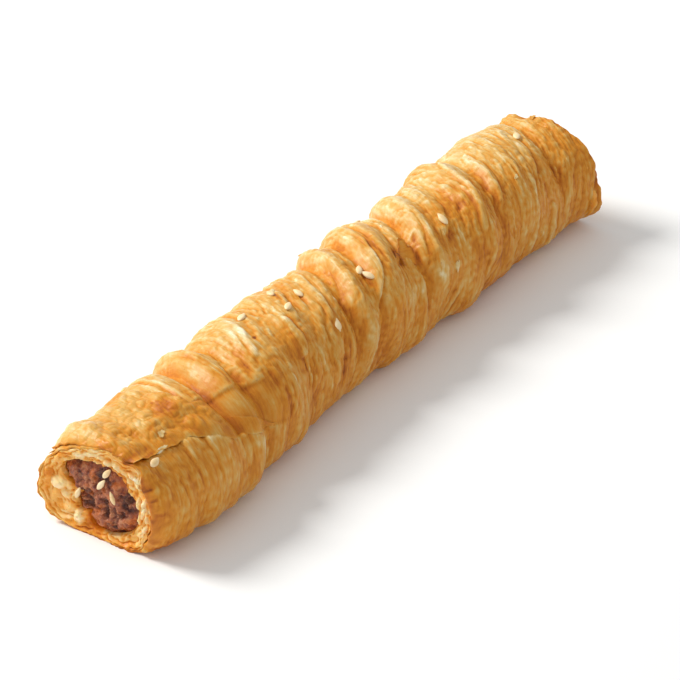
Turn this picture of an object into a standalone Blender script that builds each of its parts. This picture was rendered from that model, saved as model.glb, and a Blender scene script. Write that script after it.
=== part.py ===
"""Borek stick: a sheet of filo gathered in folds round a minced filling.

The stick lies along X with its flat underside on z = 0. It is two closed solids. The
pastry is a tube of gathered filo with an uneven rim at each end. The filling is the
core that runs right through it and shows at both ends, just inside the rims.

Every cross-section is drawn round a line parallel to X, at an angle that is 0 at the
front side (-Y), 90 degrees at the crest (+Z) and 180 degrees at the back side (+Y).
"""

import bmesh
import bpy
import numpy as np

MM = 0.001

# Driving dimensions, in millimetres.
LENGTH = 165.0              # end to end
CREST_HEIGHT = 23.0         # table to crest, between gathers
AXIS_HEIGHT = 9.6           # table to the line that the sections are drawn round
AXIS_OFFSET = 0.25          # that line's place across, which centres the stick on Y = 0
SETTLE = 0.5                # how far the round underside is pressed flat
TOP_ROUNDNESS = 2.15        # exponent of the section's upper half, 2 being an ellipse
BASE_ROUNDNESS = 3.1        # exponent of its lower half

# How far the plain body reaches from the section line. Its front steps in at two joins of
# the filo, is drawn in at the -X rim, and flares at the +X rim. Its back flares at the -X rim.
FRONT_REACH = 13.7
BACK_REACH = 15.9
PUFF = 2.2                              # how much further out it is on the -X side of a join
PUFF_JOINS = ((31.0, 37.0), (47.5, 55.0))   # from where to where each step in runs
NEAR_TUCK, NEAR_TUCK_LENGTH = 1.7, 10.0
FAR_FLARE, FAR_FLARE_LENGTH = 2.7, 12.0
BACK_FLARE, BACK_FLARE_LENGTH = 1.4, 9.0

# Gathers that hands push up: place along the crest from the -X end, height (a hollow where
# it is negative) and half width. They run slanted round the stick and fade out underneath.
GATHER_ANGLE = 130.0                    # the angle at which those places are given
GATHERS = (
    (0.0, -1.8, 2.6), (6.2, 0.7, 2.2), (11.5, -0.5, 2.5), (28.0, 0.8, 4.0), (34.6, -2.6, 1.9),
    (39.8, 1.3, 2.0), (44.5, -1.5, 1.9), (54.5, 1.3, 4.5), (67.0, 1.1, 3.8), (86.0, -2.2, 2.0),
    (90.0, 1.2, 2.0), (95.2, -1.1, 1.4), (100.8, 1.6, 4.4), (108.0, -0.9, 2.0),
    (112.8, -3.0, 1.9), (118.0, 1.2, 2.0), (133.0, 2.2, 3.4), (139.8, -0.7, 1.3),
    (149.5, 0.9, 5.0), (162.0, -1.4, 1.8),
)
PLEAT_HEIGHT = 0.85         # finer pleats that ride on the gathers
PLEAT_PITCH = 5.2

# Rims, where the roll was cut and the filo turns in to the filling.
RIM_LENGTH = 2.4            # along X, over which the side rounds into the end
RIM_INSET = 0.9             # how far in it rounds
RIM_INSET_BASE = 0.4        # and underneath, where it lies flat
ROLL_INSET = 3.2            # how much further in the -X rim rolls at its front
ROLL_LENGTH = 4.6           # along X, over which it does
ROLL_ANGLE = 4.0            # the angle round which it does
ROLL_TURN = 52.0            # and how far to each side of that
RIM_RAGGEDNESS = 0.6        # how far the cut wanders along X
RIM_REACH = 12.0            # how far from the end the cut still tilts the folds
MOUTH_DEPTH = 0.7           # how far the end dishes in at the filling

# Filling: a tilted ellipse, drawn out to a point high up at the back.
FILL_HALF_LENGTH = 9.2
FILL_HALF_HEIGHT = 7.8
FILL_TILT = -12.0
FILL_POINT = 1.7            # how far the point stands out
FILL_POINT_ANGLE = 152.0
FILL_POINT_TURN = 22.0      # its half width
FILL_ACROSS = 0.4           # its centre's place across, towards the back
FILL_HEIGHT = 9.5           # its centre's height
FILL_RECESS = 1.5           # its edge lies this far inside the ends
FILL_DOME = 0.7             # its middle bulges this far back out
FIT_GAP = 0.3               # clearance between pastry and filling

# Mesh fineness.
AROUND = 40                 # points round each ring
RINGS = 100                 # rings along the outside
RIM_RINGS = 3               # rings over each rounded rim
MOUTH_RINGS = 2             # rings across each end, from the rim to the filling
CORE_RINGS = 9              # rings along the hole and the filling
DOME_RINGS = (0.85, 0.5)    # rings on each end of the filling, as parts of its outline

ANGLES = np.linspace(0.0, 2.0 * np.pi, AROUND, endpoint=False)


def smooth_step(low, high, value):
    """Ease from 0 at low to 1 at high."""
    t = np.clip((value - low) / (high - low), 0.0, 1.0)
    return t * t * (3.0 - 2.0 * t)


def turn_between(angle, middle):
    """Signed turn from middle to angle, between -pi and pi."""
    return (angle - middle + np.pi) % (2.0 * np.pi) - np.pi


def fold_slant(along, angle):
    """How far a fold runs along X, in millimetres, for each radian round the stick."""
    middle = smooth_step(48.0, 78.0, along) - 0.45 * smooth_step(112.0, 140.0, along)
    return 2.8 + 2.6 * middle + 1.2 * smooth_step(0.4, 0.95, np.sin(angle))


def fade_out(distance, length):
    """One at distance zero, down to nothing at length, and nothing beyond."""
    return np.clip(1.0 - distance / length, 0.0, 1.0) ** 2


def front_reach(along):
    """How far the plain body reaches to the front at each place along it."""
    reach = FRONT_REACH - NEAR_TUCK * fade_out(along, NEAR_TUCK_LENGTH)
    reach = reach + FAR_FLARE * fade_out(LENGTH - along, FAR_FLARE_LENGTH)
    for start, stop in PUFF_JOINS:
        reach = reach + PUFF * (1.0 - smooth_step(start, stop, along))
    return reach


def plain_reach(along, angle):
    """Distance from the section line to the plain body, before gathers and pleats."""
    back = BACK_REACH + BACK_FLARE * fade_out(along, BACK_FLARE_LENGTH)
    across = np.where(np.cos(angle) > 0.0, front_reach(along), back)
    upright = np.where(np.sin(angle) > 0.0, CREST_HEIGHT - AXIS_HEIGHT, AXIS_HEIGHT + SETTLE)
    power = np.where(np.sin(angle) > 0.0, TOP_ROUNDNESS, BASE_ROUNDNESS)
    sideways = (np.abs(np.cos(angle)) / across) ** power
    return (sideways + (np.abs(np.sin(angle)) / upright) ** power) ** (-1.0 / power)


def gather_relief(along, angle):
    """Height of the gathers over the plain body."""
    turn = turn_between(angle, np.radians(GATHER_ANGLE))
    spot = along - fold_slant(along, angle) * turn
    relief = np.zeros(np.shape(spot))
    for place, height, half_width in GATHERS:
        relief = relief + height * np.exp(-(((spot - place) / half_width) ** 2))
    return relief * smooth_step(2.98, 1.3, np.abs(turn))


def pleat_relief(along, angle):
    """Height of the pleats: round ridges with sharp creases between them."""
    turn = turn_between(angle, 0.5 * np.pi)
    phase = (along - fold_slant(along, angle) * turn) / PLEAT_PITCH
    phase = phase + 0.25 * np.sin(3.0 * angle - 0.17 * along)
    ridge = np.abs(np.sin(np.pi * phase)) - 0.5
    strength = 0.6 + 0.4 * np.sin(0.09 * along + 2.0 * angle + 0.5)
    return PLEAT_HEIGHT * strength * ridge


def skin_reach(along, angle):
    """Distance from the section line to the finished skin."""
    underneath = smooth_step(-0.55, -0.9, np.sin(angle))
    relief = gather_relief(along, angle) + pleat_relief(along, angle)
    turn = np.degrees(turn_between(angle, np.radians(ROLL_ANGLE)))
    rolled = smooth_step(ROLL_TURN, 0.4 * ROLL_TURN, np.abs(turn))
    rolled = rolled * fade_out(along, ROLL_LENGTH)
    return plain_reach(along, angle) + relief * (1.0 - 0.8 * underneath) - ROLL_INSET * rolled


def ragged(angle, end):
    """How far the cut end stands back at each angle; end is -1 or +1."""
    wave = np.sin(2.0 * angle + 0.8 * end) + 0.6 * np.sin(5.0 * angle + 1.9 * end)
    return RIM_RAGGEDNESS * (0.5 + 0.3 * wave)


def ring(x, across, height):
    """Points of one ring, in metres, none below the table."""
    x = np.broadcast_to(x, ANGLES.shape)
    return np.column_stack((x, across, np.maximum(height, 0.0))) * MM


def skin_ring(along, inset=0.0):
    """One ring of the skin: along is counted from the -X end."""
    reach = skin_reach(along, ANGLES) - inset
    from_end = min(along, LENGTH - along)
    end = -1.0 if along < LENGTH / 2.0 else 1.0
    set_back = ragged(ANGLES, end) * (1.0 - min(from_end / RIM_REACH, 1.0)) ** 2
    x = along - LENGTH / 2.0 - end * set_back
    across = AXIS_OFFSET - reach * np.cos(ANGLES)
    return ring(x, across, AXIS_HEIGHT + reach * np.sin(ANGLES))


def rim_inset():
    """How far the rounded rim turns in at each angle."""
    flat = smooth_step(-0.35, -0.8, np.sin(ANGLES))
    return RIM_INSET + (RIM_INSET_BASE - RIM_INSET) * flat


def rim_rings(end):
    """Rings over a rounded rim, from the side to the end face."""
    rings = []
    for step in range(1, RIM_RINGS + 1):
        turn = 0.5 * np.pi * step / RIM_RINGS
        from_end = RIM_LENGTH * (1.0 - np.sin(turn))
        along = from_end if end < 0.0 else LENGTH - from_end
        rings.append(skin_ring(along, rim_inset() * (1.0 - np.cos(turn))))
    return rings


def core_reach(angle):
    """Distance from the filling's centre to its surface."""
    turn = angle - np.radians(FILL_TILT)
    across = np.cos(turn) / FILL_HALF_LENGTH
    upright = np.sin(turn) / FILL_HALF_HEIGHT
    off = np.degrees(turn_between(angle, np.radians(FILL_POINT_ANGLE))) / FILL_POINT_TURN
    return 1.0 / np.hypot(across, upright) + FILL_POINT * np.exp(-(off**2))


def core_ring(x, size=1.0, gap=0.0):
    """One ring of the filling, or of the hole round it where a gap is given."""
    away = core_reach(ANGLES) * size + gap
    across = FILL_ACROSS - away * np.cos(ANGLES)
    return ring(x, across, FILL_HEIGHT + away * np.sin(ANGLES))


def mouth_rings(rim, end):
    """Rings across an end face, from its rim in to the edge of the hole."""
    edge = core_ring(end * (LENGTH / 2.0 - MOUTH_DEPTH), gap=FIT_GAP)
    rings = []
    for step in range(1, MOUTH_RINGS + 1):
        part = step / MOUTH_RINGS
        rings.append(rim * (1.0 - part) + edge * part)
    return rings


def pastry_rings():
    """Every ring of the pastry tube, in order: outside, +X end, hole, -X end."""
    outside = [
        skin_ring(along)
        for along in np.linspace(RIM_LENGTH, LENGTH - RIM_LENGTH, RINGS)
    ]
    far_rim = rim_rings(1.0)
    near_rim = rim_rings(-1.0)
    far_mouth = mouth_rings(far_rim[-1], 1.0)
    near_mouth = mouth_rings(near_rim[-1], -1.0)
    inner_half = LENGTH / 2.0 - MOUTH_DEPTH
    hole = [
        core_ring(x, gap=FIT_GAP)
        for x in np.linspace(inner_half, -inner_half, CORE_RINGS)[1:-1]
    ]
    return outside + far_rim + far_mouth + hole + near_mouth[::-1] + near_rim[::-1]


def filling_rings():
    """Every ring of the filling, from the middle of one domed end to the other's."""
    half = LENGTH / 2.0 - FILL_RECESS
    rings = [core_ring(x) for x in np.linspace(-half, half, CORE_RINGS)]
    for size in DOME_RINGS:
        bulge = FILL_DOME * (1.0 - size**2)
        rings.insert(0, core_ring(-half - bulge, size))
        rings.append(core_ring(half + bulge, size))
    return rings


def add_rings(mesh, rings, closed):
    """Join rings of points by faces; closed also joins the last ring to the first."""
    loops = [[mesh.verts.new(point) for point in points] for points in rings]
    pairs = list(zip(loops, loops[1:]))
    if closed:
        pairs.append((loops[-1], loops[0]))
    for one, other in pairs:
        for number in range(AROUND):
            after = (number + 1) % AROUND
            mesh.faces.new((one[number], one[after], other[after], other[number]))
    return loops


def add_tip(mesh, loop, x):
    """Close a ring by a fan of faces to one point, at the filling's centre."""
    tip = mesh.verts.new((x * MM, FILL_ACROSS * MM, FILL_HEIGHT * MM))
    for number in range(AROUND):
        mesh.faces.new((loop[number], loop[(number + 1) % AROUND], tip))


def make_material(name, colour, roughness):
    """A Principled material of one colour."""
    material = bpy.data.materials.new(name)
    material.use_nodes = True
    shader = material.node_tree.nodes["Principled BSDF"]
    shader.inputs["Base Color"].default_value = (*colour, 1.0)
    shader.inputs["Roughness"].default_value = roughness
    shader.inputs["Metallic"].default_value = 0.0
    return material


def finish_piece(name, mesh, material):
    """Turn a bmesh into a named object with outward faces and smooth shading."""
    bmesh.ops.recalc_face_normals(mesh, faces=mesh.faces)
    data = bpy.data.meshes.new(name)
    mesh.to_mesh(data)
    mesh.free()
    data.shade_smooth()
    data.materials.append(material)
    piece = bpy.data.objects.new(name, data)
    bpy.context.scene.collection.objects.link(piece)


def make_pastry():
    """The gathered filo, one tube with a hole for the filling."""
    mesh = bmesh.new()
    add_rings(mesh, pastry_rings(), closed=True)
    finish_piece("pastry", mesh, make_material("baked_filo", (0.76, 0.42, 0.13), 0.45))


def make_filling():
    """The minced filling, one core with a domed end at each mouth."""
    mesh = bmesh.new()
    loops = add_rings(mesh, filling_rings(), closed=False)
    tip = LENGTH / 2.0 - FILL_RECESS + FILL_DOME
    add_tip(mesh, loops[0], -tip)
    add_tip(mesh, loops[-1], tip)
    finish_piece("filling", mesh, make_material("minced_filling", (0.16, 0.05, 0.02), 0.6))


def main():
    """Clear the scene and build both solids."""
    for thing in list(bpy.data.objects):
        bpy.data.objects.remove(thing, do_unlink=True)
    make_pastry()
    make_filling()


main()
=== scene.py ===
"""Borek stick: gathered golden filo round a minced filling, sprinkled with sesame."""

import logging
import math
from dataclasses import dataclass
from enum import Enum

import bpy
import numpy as np
from mathutils import Matrix, Vector


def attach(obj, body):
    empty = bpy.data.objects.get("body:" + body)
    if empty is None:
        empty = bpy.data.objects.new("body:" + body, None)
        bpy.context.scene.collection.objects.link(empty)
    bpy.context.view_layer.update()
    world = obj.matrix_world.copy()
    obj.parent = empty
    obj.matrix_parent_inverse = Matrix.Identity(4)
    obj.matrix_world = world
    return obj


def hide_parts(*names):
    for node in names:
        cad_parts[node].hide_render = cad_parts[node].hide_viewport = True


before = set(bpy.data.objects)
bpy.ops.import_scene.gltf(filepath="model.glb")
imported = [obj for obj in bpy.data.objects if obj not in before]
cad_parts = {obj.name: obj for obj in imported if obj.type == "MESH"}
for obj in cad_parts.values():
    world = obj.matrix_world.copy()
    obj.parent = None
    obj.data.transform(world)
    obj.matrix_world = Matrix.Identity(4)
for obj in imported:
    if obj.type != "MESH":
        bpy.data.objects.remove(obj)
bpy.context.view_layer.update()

MM = 0.001
LOG = logging.getLogger("borek")


# --------------------------------------------------------------------------- numbers


def smooth_step(low, high, value):
    """Ease from 0 at low to 1 at high.

    Args:
        low: Value where the result is 0.
        high: Value where the result is 1; it may lie below low.
        value: Number or array to ease.

    Returns:
        The eased number or array.
    """
    t = np.clip((value - low) / (high - low), 0.0, 1.0)
    return t * t * (3.0 - 2.0 * t)


def turn_between(angle, middle):
    """Signed turn from middle to angle, in radians between -pi and pi."""
    return (angle - middle + np.pi) % (2.0 * np.pi) - np.pi


def degrees_from(angle, middle: float):
    """Signed turn in degrees to angle, in radians, from middle, in degrees."""
    return np.degrees(turn_between(angle, np.radians(middle)))


def fade_out(distance, length: float):
    """One at distance zero, down to nothing at length, and nothing beyond."""
    return np.clip(1.0 - distance / length, 0.0, 1.0) ** 2


def soften(values, half_rows: int, half_columns: int):
    """Average a field over a window that carries on round the stick.

    Args:
        values: The field, rows by columns.
        half_rows: Rows on each side that count.
        half_columns: Columns on each side that count.

    Returns:
        The averaged field.
    """
    for axis, half, mode in ((0, half_rows, "edge"), (1, half_columns, "wrap")):
        margin = [(0, 0), (0, 0)]
        margin[axis] = (half + 1, half)
        total = np.cumsum(np.pad(values, margin, mode=mode), axis=axis)
        length = total.shape[axis]
        ahead = np.take(total, range(2 * half + 1, length), axis=axis)
        values = (ahead - np.take(total, range(0, length - 2 * half - 1), axis=axis)) / (2 * half + 1)
    return values


class NoiseField:
    """Smooth noise on a lattice, which can repeat round the stick."""

    SIZE = 4096

    def __init__(self, seed: int) -> None:
        """Draw the lattice's slopes.

        Args:
            seed: Number that fixes the draw.
        """
        draw = np.random.default_rng(seed)
        heading = draw.uniform(0.0, 2.0 * np.pi, self.SIZE)
        self.slope_x = np.cos(heading)
        self.slope_y = np.sin(heading)
        self.shuffle = draw.permutation(self.SIZE)

    def at(self, x, y, period: int = 0):
        """Read the noise.

        Args:
            x: Lattice coordinates along the first axis.
            y: Lattice coordinates along the second axis.
            period: Whole number of cells after which y repeats, or 0.

        Returns:
            Values between about -1 and 1.
        """
        x, y = np.broadcast_arrays(np.asarray(x, float), np.asarray(y, float))
        left = np.floor(x).astype(int)
        below = np.floor(y).astype(int)
        fx = x - left
        fy = y - below
        ux = fx * fx * fx * (fx * (fx * 6.0 - 15.0) + 10.0)
        uy = fy * fy * fy * (fy * (fy * 6.0 - 15.0) + 10.0)
        total = np.zeros(x.shape)
        for step_x in (0, 1):
            for step_y in (0, 1):
                row = below + step_y
                row = row % period if period else row
                spot = self.shuffle[(left + step_x) % self.SIZE]
                spot = self.shuffle[(spot + row) % self.SIZE]
                reach = self.slope_x[spot] * (fx - step_x) + self.slope_y[spot] * (fy - step_y)
                share = (ux if step_x else 1.0 - ux) * (uy if step_y else 1.0 - uy)
                total += share * reach
        return 1.5 * total

    def billow(self, x, y, period: int = 0):
        """Round lumps with sharp creases between them, from 0 to about 1."""
        return np.abs(self.at(x, y, period))


# ------------------------------------------------------------------------- the shape


class StickEnd(Enum):
    """A cut end of the stick; its value is that end's side along X."""

    NEAR = -1.0
    FAR = 1.0


def slant_of_folds(place, angle):
    """How far a fold runs along the stick for each radian round it.

    Args:
        place: Places along the stick.
        angle: Angles round it.

    Returns:
        The slant in millimetres per radian.
    """
    middle = smooth_step(48.0, 78.0, place) - 0.45 * smooth_step(112.0, 140.0, place)
    return 2.8 + 2.6 * middle + 1.2 * smooth_step(0.4, 0.95, np.sin(angle))


@dataclass(frozen=True)
class Gather:
    """One gather pushed up by hand, or a hollow between two where its height is negative.

    Attributes:
        place: Where it crosses the crest line, from the -X end.
        height: How far it stands over the plain body.
        half_width: Its half width along the stick.
    """

    place: float
    height: float
    half_width: float


@dataclass(frozen=True)
class Lobe:
    """A puff of filo that pushes in over the edge of the filling.

    Attributes:
        angle: Where it is round the filling, in degrees.
        depth: How far in it reaches.
        half_turn: Its half width, in degrees.
    """

    angle: float
    depth: float
    half_turn: float


@dataclass(frozen=True)
class StickForm:
    """The stick's plain body, its gathers and its core, in millimetres.

    Sections are drawn round a line parallel to X. An angle is 0 at the front side (-Y),
    90 degrees at the crest and 180 degrees at the back side. Places along the stick are
    counted from the -X end.
    """

    length: float = 165.0
    crest_height: float = 23.0
    axis_height: float = 9.6
    axis_offset: float = 0.25
    front_width: float = 13.7
    back_width: float = 15.9
    puff: float = 2.2
    puff_joins: tuple = ((31.0, 37.0), (47.5, 55.0))
    near_tuck: float = 1.7
    near_tuck_length: float = 10.0
    far_flare: float = 2.7
    far_flare_length: float = 12.0
    back_flare: float = 1.4
    back_flare_length: float = 9.0
    rim_round: float = 1.6
    rim_round_length: float = 4.6
    rim_round_angle: float = 4.0
    rim_round_turn: float = 52.0
    roll_radius: float = 1.3
    settle: float = 0.5
    top_roundness: float = 2.15
    base_roundness: float = 3.1
    gather_angle: float = 130.0
    gathers: tuple = (
        Gather(0.0, -1.8, 2.6), Gather(6.2, 0.7, 2.2), Gather(11.5, -0.5, 2.5),
        Gather(28.0, 0.8, 4.0), Gather(34.6, -2.6, 1.9), Gather(39.8, 1.3, 2.0),
        Gather(44.5, -1.5, 1.9), Gather(54.5, 1.3, 4.5), Gather(67.0, 1.1, 3.8),
        Gather(86.0, -2.2, 2.0), Gather(90.0, 1.2, 2.0), Gather(95.2, -1.1, 1.4),
        Gather(100.8, 1.6, 4.4), Gather(108.0, -0.9, 2.0), Gather(112.8, -3.0, 1.9),
        Gather(118.0, 1.2, 2.0), Gather(133.0, 2.2, 3.4), Gather(139.8, -0.7, 1.3),
        Gather(149.5, 0.9, 5.0), Gather(162.0, -1.4, 1.8),
    )
    fill_half_length: float = 9.2
    fill_half_height: float = 7.8
    fill_tilt: float = -12.0
    fill_point: float = 1.7
    fill_point_angle: float = 152.0
    fill_point_turn: float = 22.0
    fill_across: float = 0.4
    fill_height: float = 9.5
    fit_gap: float = 0.3
    raggedness: float = 0.6
    rim_reach: float = 12.0

    def front_reach(self, along):
        """How far the plain body reaches to the front at each place along it."""
        reach = self.front_width - self.near_tuck * fade_out(along, self.near_tuck_length)
        reach = reach + self.far_flare * fade_out(self.length - along, self.far_flare_length)
        for start, stop in self.puff_joins:
            reach = reach + self.puff * (1.0 - smooth_step(start, stop, along))
        return reach

    def plain_reach(self, along, angle):
        """Distance from the section line to the body before gathers, for any point."""
        back = self.back_width + self.back_flare * fade_out(along, self.back_flare_length)
        upper = np.sin(angle) > 0.0
        across = np.where(np.cos(angle) > 0.0, self.front_reach(along), back)
        upright = np.where(upper, self.crest_height - self.axis_height, self.axis_height + self.settle)
        power = np.where(upper, self.top_roundness, self.base_roundness)
        sideways = (np.abs(np.cos(angle)) / across) ** power
        reach = (sideways + (np.abs(np.sin(angle)) / upright) ** power) ** (-1.0 / power)
        tucked = self.rolled(angle) * fade_out(along, self.rim_round_length)
        return reach - self.rim_round * tucked

    def rolled(self, angle):
        """How far the rim at the near end rolls in over the filling, from 0 to 1."""
        turn = degrees_from(angle, self.rim_round_angle)
        return smooth_step(self.rim_round_turn, 0.4 * self.rim_round_turn, np.abs(turn))

    def gather_relief(self, along, angle):
        """Height of the gathers over the mean surface."""
        turn = turn_between(angle, np.radians(self.gather_angle))
        spot = along - slant_of_folds(along, angle) * turn
        relief = np.zeros(np.shape(spot))
        for gather in self.gathers:
            off = (spot - gather.place) / gather.half_width
            relief = relief + gather.height * np.exp(-(off**2))
        return relief * smooth_step(2.98, 1.3, np.abs(turn))

    def resting(self, angle):
        """How much of a surface is pressed on the table, from 0 to 1."""
        return smooth_step(-0.55, -0.9, np.sin(angle))

    def ragged(self, angle, end: float):
        """How far the cut end stands back at each angle; end is -1 or +1."""
        wave = np.sin(2.0 * angle + 0.8 * end) + 0.6 * np.sin(5.0 * angle + 1.9 * end)
        return self.raggedness * (0.5 + 0.3 * wave)

    def place(self, along, angle, reach):
        """Turn stick coordinates into points.

        Args:
            along: Places along the stick.
            angle: Angles round it.
            reach: Distances from the section line.

        Returns:
            Points in millimetres, with none below the table.
        """
        from_end = np.minimum(along, self.length - along)
        near = along < self.length / 2.0
        back = np.where(near, self.ragged(angle, -1.0), -self.ragged(angle, 1.0))
        back = back * (1.0 - np.clip(from_end / self.rim_reach, 0.0, 1.0)) ** 2
        x = along - self.length / 2.0 + back
        y = self.axis_offset - reach * np.cos(angle)
        z = self.axis_height + reach * np.sin(angle)
        return np.stack(np.broadcast_arrays(x, y, np.maximum(z, 0.0)), axis=-1)

    def core_reach(self, angle, gap: float = 0.0):
        """Distance from the filling's centre to its outline."""
        turn = angle - np.radians(self.fill_tilt)
        across = np.cos(turn) / self.fill_half_length
        upright = np.sin(turn) / self.fill_half_height
        off = degrees_from(angle, self.fill_point_angle)
        point = self.fill_point * np.exp(-((off / self.fill_point_turn) ** 2))
        return 1.0 / np.hypot(across, upright) + point + gap

    def opening(self, angle, lobes: tuple):
        """Outline of the filling that shows, with lobes of filo pushing in over it."""
        reach = self.core_reach(angle)
        for lobe in lobes:
            off = degrees_from(angle, lobe.angle) / lobe.half_turn
            reach = reach - lobe.depth * np.exp(-(off**2))
        return reach

    def core_point(self, x, angle, reach):
        """Points at a distance from the filling's centre line."""
        y = self.fill_across - reach * np.cos(angle)
        z = self.fill_height + reach * np.sin(angle)
        return np.stack(np.broadcast_arrays(x, y, np.maximum(z, 0.0)), axis=-1)


# ------------------------------------------------------------------ pleats, browning and painted shade


@dataclass(frozen=True)
class Pleat:
    """One fold of filo, a long low dome that runs round the stick.

    Attributes:
        place: Its middle along the stick, in millimetres.
        angle: Its middle round the stick, in radians.
        half_width: Half its width along the stick.
        half_turn: Half its length round the stick, in radians.
        height: Its height.
        slant: How far it moves along the stick for each radian.
        curve: How much it bends, per radian squared.
        skew: Where its crest lies, from -1 at its -X side to 1 at its +X side.
        tone: Its own browning, from -1 for pale to 1 for brown.
    """

    place: float
    angle: float
    half_width: float
    half_turn: float
    height: float
    slant: float
    curve: float
    skew: float
    tone: float


@dataclass(frozen=True)
class Patch:
    """A stretch of skin that baked darker or stayed paler; along creases its darkening is painted shade,
    and cream ones are partly painted highlights.

    Attributes:
        place: Its middle along the stick, in millimetres.
        angle: Its middle round the stick, in degrees.
        half_length: Half its length along the stick.
        half_turn: Half its reach round the stick, in degrees.
        amount: Change in browning at its middle, painted shade along creases and partly a painted highlight
            in cream patches.
        dent: Depth of the hollow there, in millimetres.
    """

    place: float
    angle: float
    half_length: float
    half_turn: float
    amount: float
    dent: float = 0.0


@dataclass(frozen=True)
class PleatPlan:
    """How many folds of one size are laid over the stick, and how they vary."""

    count: int
    half_width: tuple
    half_turn: tuple
    height: tuple
    slant_spread: float
    skew_spread: float
    seed: int

    def lay(self, form: StickForm) -> list:
        """Draw the folds.

        Args:
            form: The stick that they cover.

        Returns:
            The folds, as a list of Pleat.
        """
        draw = np.random.default_rng(self.seed)
        pleats = []
        for number in range(self.count):
            place = form.length * (number + draw.uniform(0.0, 1.0)) / self.count
            angle = draw.uniform(0.0, 2.0 * np.pi)
            size = [draw.uniform(*span) for span in (self.half_width, self.half_turn, self.height)]
            slant = slant_of_folds(place, angle) + self.slant_spread * draw.normal()
            curve = draw.normal() * 1.6
            skew = float(np.clip(draw.normal() * self.skew_spread, -0.8, 0.8))
            tone = float(np.clip(draw.normal() * 0.5, -1.0, 1.0))
            pleats.append(Pleat(place, angle, *size, slant, curve, skew, tone))
        return pleats


@dataclass(frozen=True)
class BlisterPlan:
    """How many round blisters rise over a stretch of the stick, and how they vary."""

    count: int
    start: float
    stop: float
    low_angle: float
    high_angle: float
    half_width: tuple
    height: tuple
    seed: int

    def lay(self) -> list:
        """Draw the blisters, as a list of Pleat."""
        draw = np.random.default_rng(self.seed)
        bubbles = []
        for _ in range(self.count):
            width = draw.uniform(*self.half_width)
            place = draw.uniform(self.start, self.stop)
            angle = np.radians(draw.uniform(self.low_angle, self.high_angle))
            half_turn = width * draw.uniform(0.75, 1.7) / 13.0
            height = draw.uniform(*self.height) * min(1.0, 0.4 + 0.4 * width)
            slant = draw.normal() * 6.0
            skew = draw.uniform(-0.4, 0.4)
            tone = float(np.clip(draw.normal() * 0.6, -1.0, 1.0))
            bubbles.append(Pleat(place, angle, width, half_turn, height, slant, 0.0, skew, tone))
        return bubbles


def lay_pleats(along, angle, pleats: list) -> tuple:
    """Find the highest fold at every point.

    Args:
        along: Places along the stick, rows by columns.
        angle: Angle of each column, in radians.
        pleats: The folds.

    Returns:
        The height and the tone at every point.
    """
    height = np.zeros(along.shape)
    tone = np.zeros(along.shape)
    for pleat in pleats:
        turn = turn_between(angle, pleat.angle)
        columns = np.nonzero(np.abs(turn) < pleat.half_turn)[0]
        if not len(columns):
            continue
        turn = turn[columns]
        taper = np.sqrt(1.0 - (turn / pleat.half_turn) ** 2)
        middle = pleat.place + pleat.slant * turn + pleat.curve * turn**2
        width = pleat.half_width * (0.35 + 0.65 * taper)
        block = along[:, columns]
        rows = np.nonzero(np.any(np.abs(block - middle) < width, axis=1))[0]
        if not len(rows):
            continue
        spread = np.s_[rows[0] : rows[-1] + 1]
        across = (block[spread] - middle) / width - pleat.skew
        across = across / np.where(across < 0.0, 1.0 + pleat.skew, 1.0 - pleat.skew)
        dome = pleat.height * taper**0.7 * np.clip(1.0 - across**2, 0.0, 1.0) ** 0.7
        target = np.ix_(np.arange(rows[0], rows[-1] + 1), columns)
        wins = dome > height[target]
        height[target] = np.where(wins, dome, height[target])
        tone[target] = np.where(wins, pleat.tone, tone[target])
    return height, tone


@dataclass(frozen=True)
class SheetOutline:
    """How far the blistered top sheet reaches, which lies over the near wrap.

    Attributes:
        places: Places along the stick of its free lower edge, on the front.
        angles: That edge's angle at each place, in degrees.
        stop_angles: Angles, in degrees, at which its +X side turns.
        stop_places: Place of its +X side at each of them.
        back_angle: Angle at which it runs in under the skin at the back, in degrees.
        blend: How far from those two sides it starts to run in, in millimetres.
    """

    places: tuple = (0.0, 17.0, 26.0, 50.0)
    angles: tuple = (54.0, 44.0, 25.0, 1.0)
    stop_angles: tuple = (46.0, 66.0, 150.0)
    stop_places: tuple = (46.0, 27.0, 25.0)
    back_angle: float = 152.0
    blend: float = 4.0

    def edge(self, along):
        """Angle of the free edge, in radians."""
        waver = 0.01 * np.sin(along * 0.9) + 0.006 * np.sin(along * 2.3 + 1.0)
        return np.radians(np.interp(along, self.places, self.angles)) + waver

    def stop(self, angle):
        """Place of the +X side."""
        return np.interp(degrees_from(angle, 0.0), self.stop_angles, self.stop_places)

    def cover(self, along, angle):
        """How fully the sheet lies over each point, from 0 to 1."""
        above = turn_between(angle, self.edge(along))
        behind = turn_between(angle, np.radians(self.back_angle))
        share = smooth_step(-0.01, 0.04, above) * smooth_step(0.0, -self.blend / 15.0, behind)
        return share * smooth_step(0.0, self.blend, self.stop(angle) - along)


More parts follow.
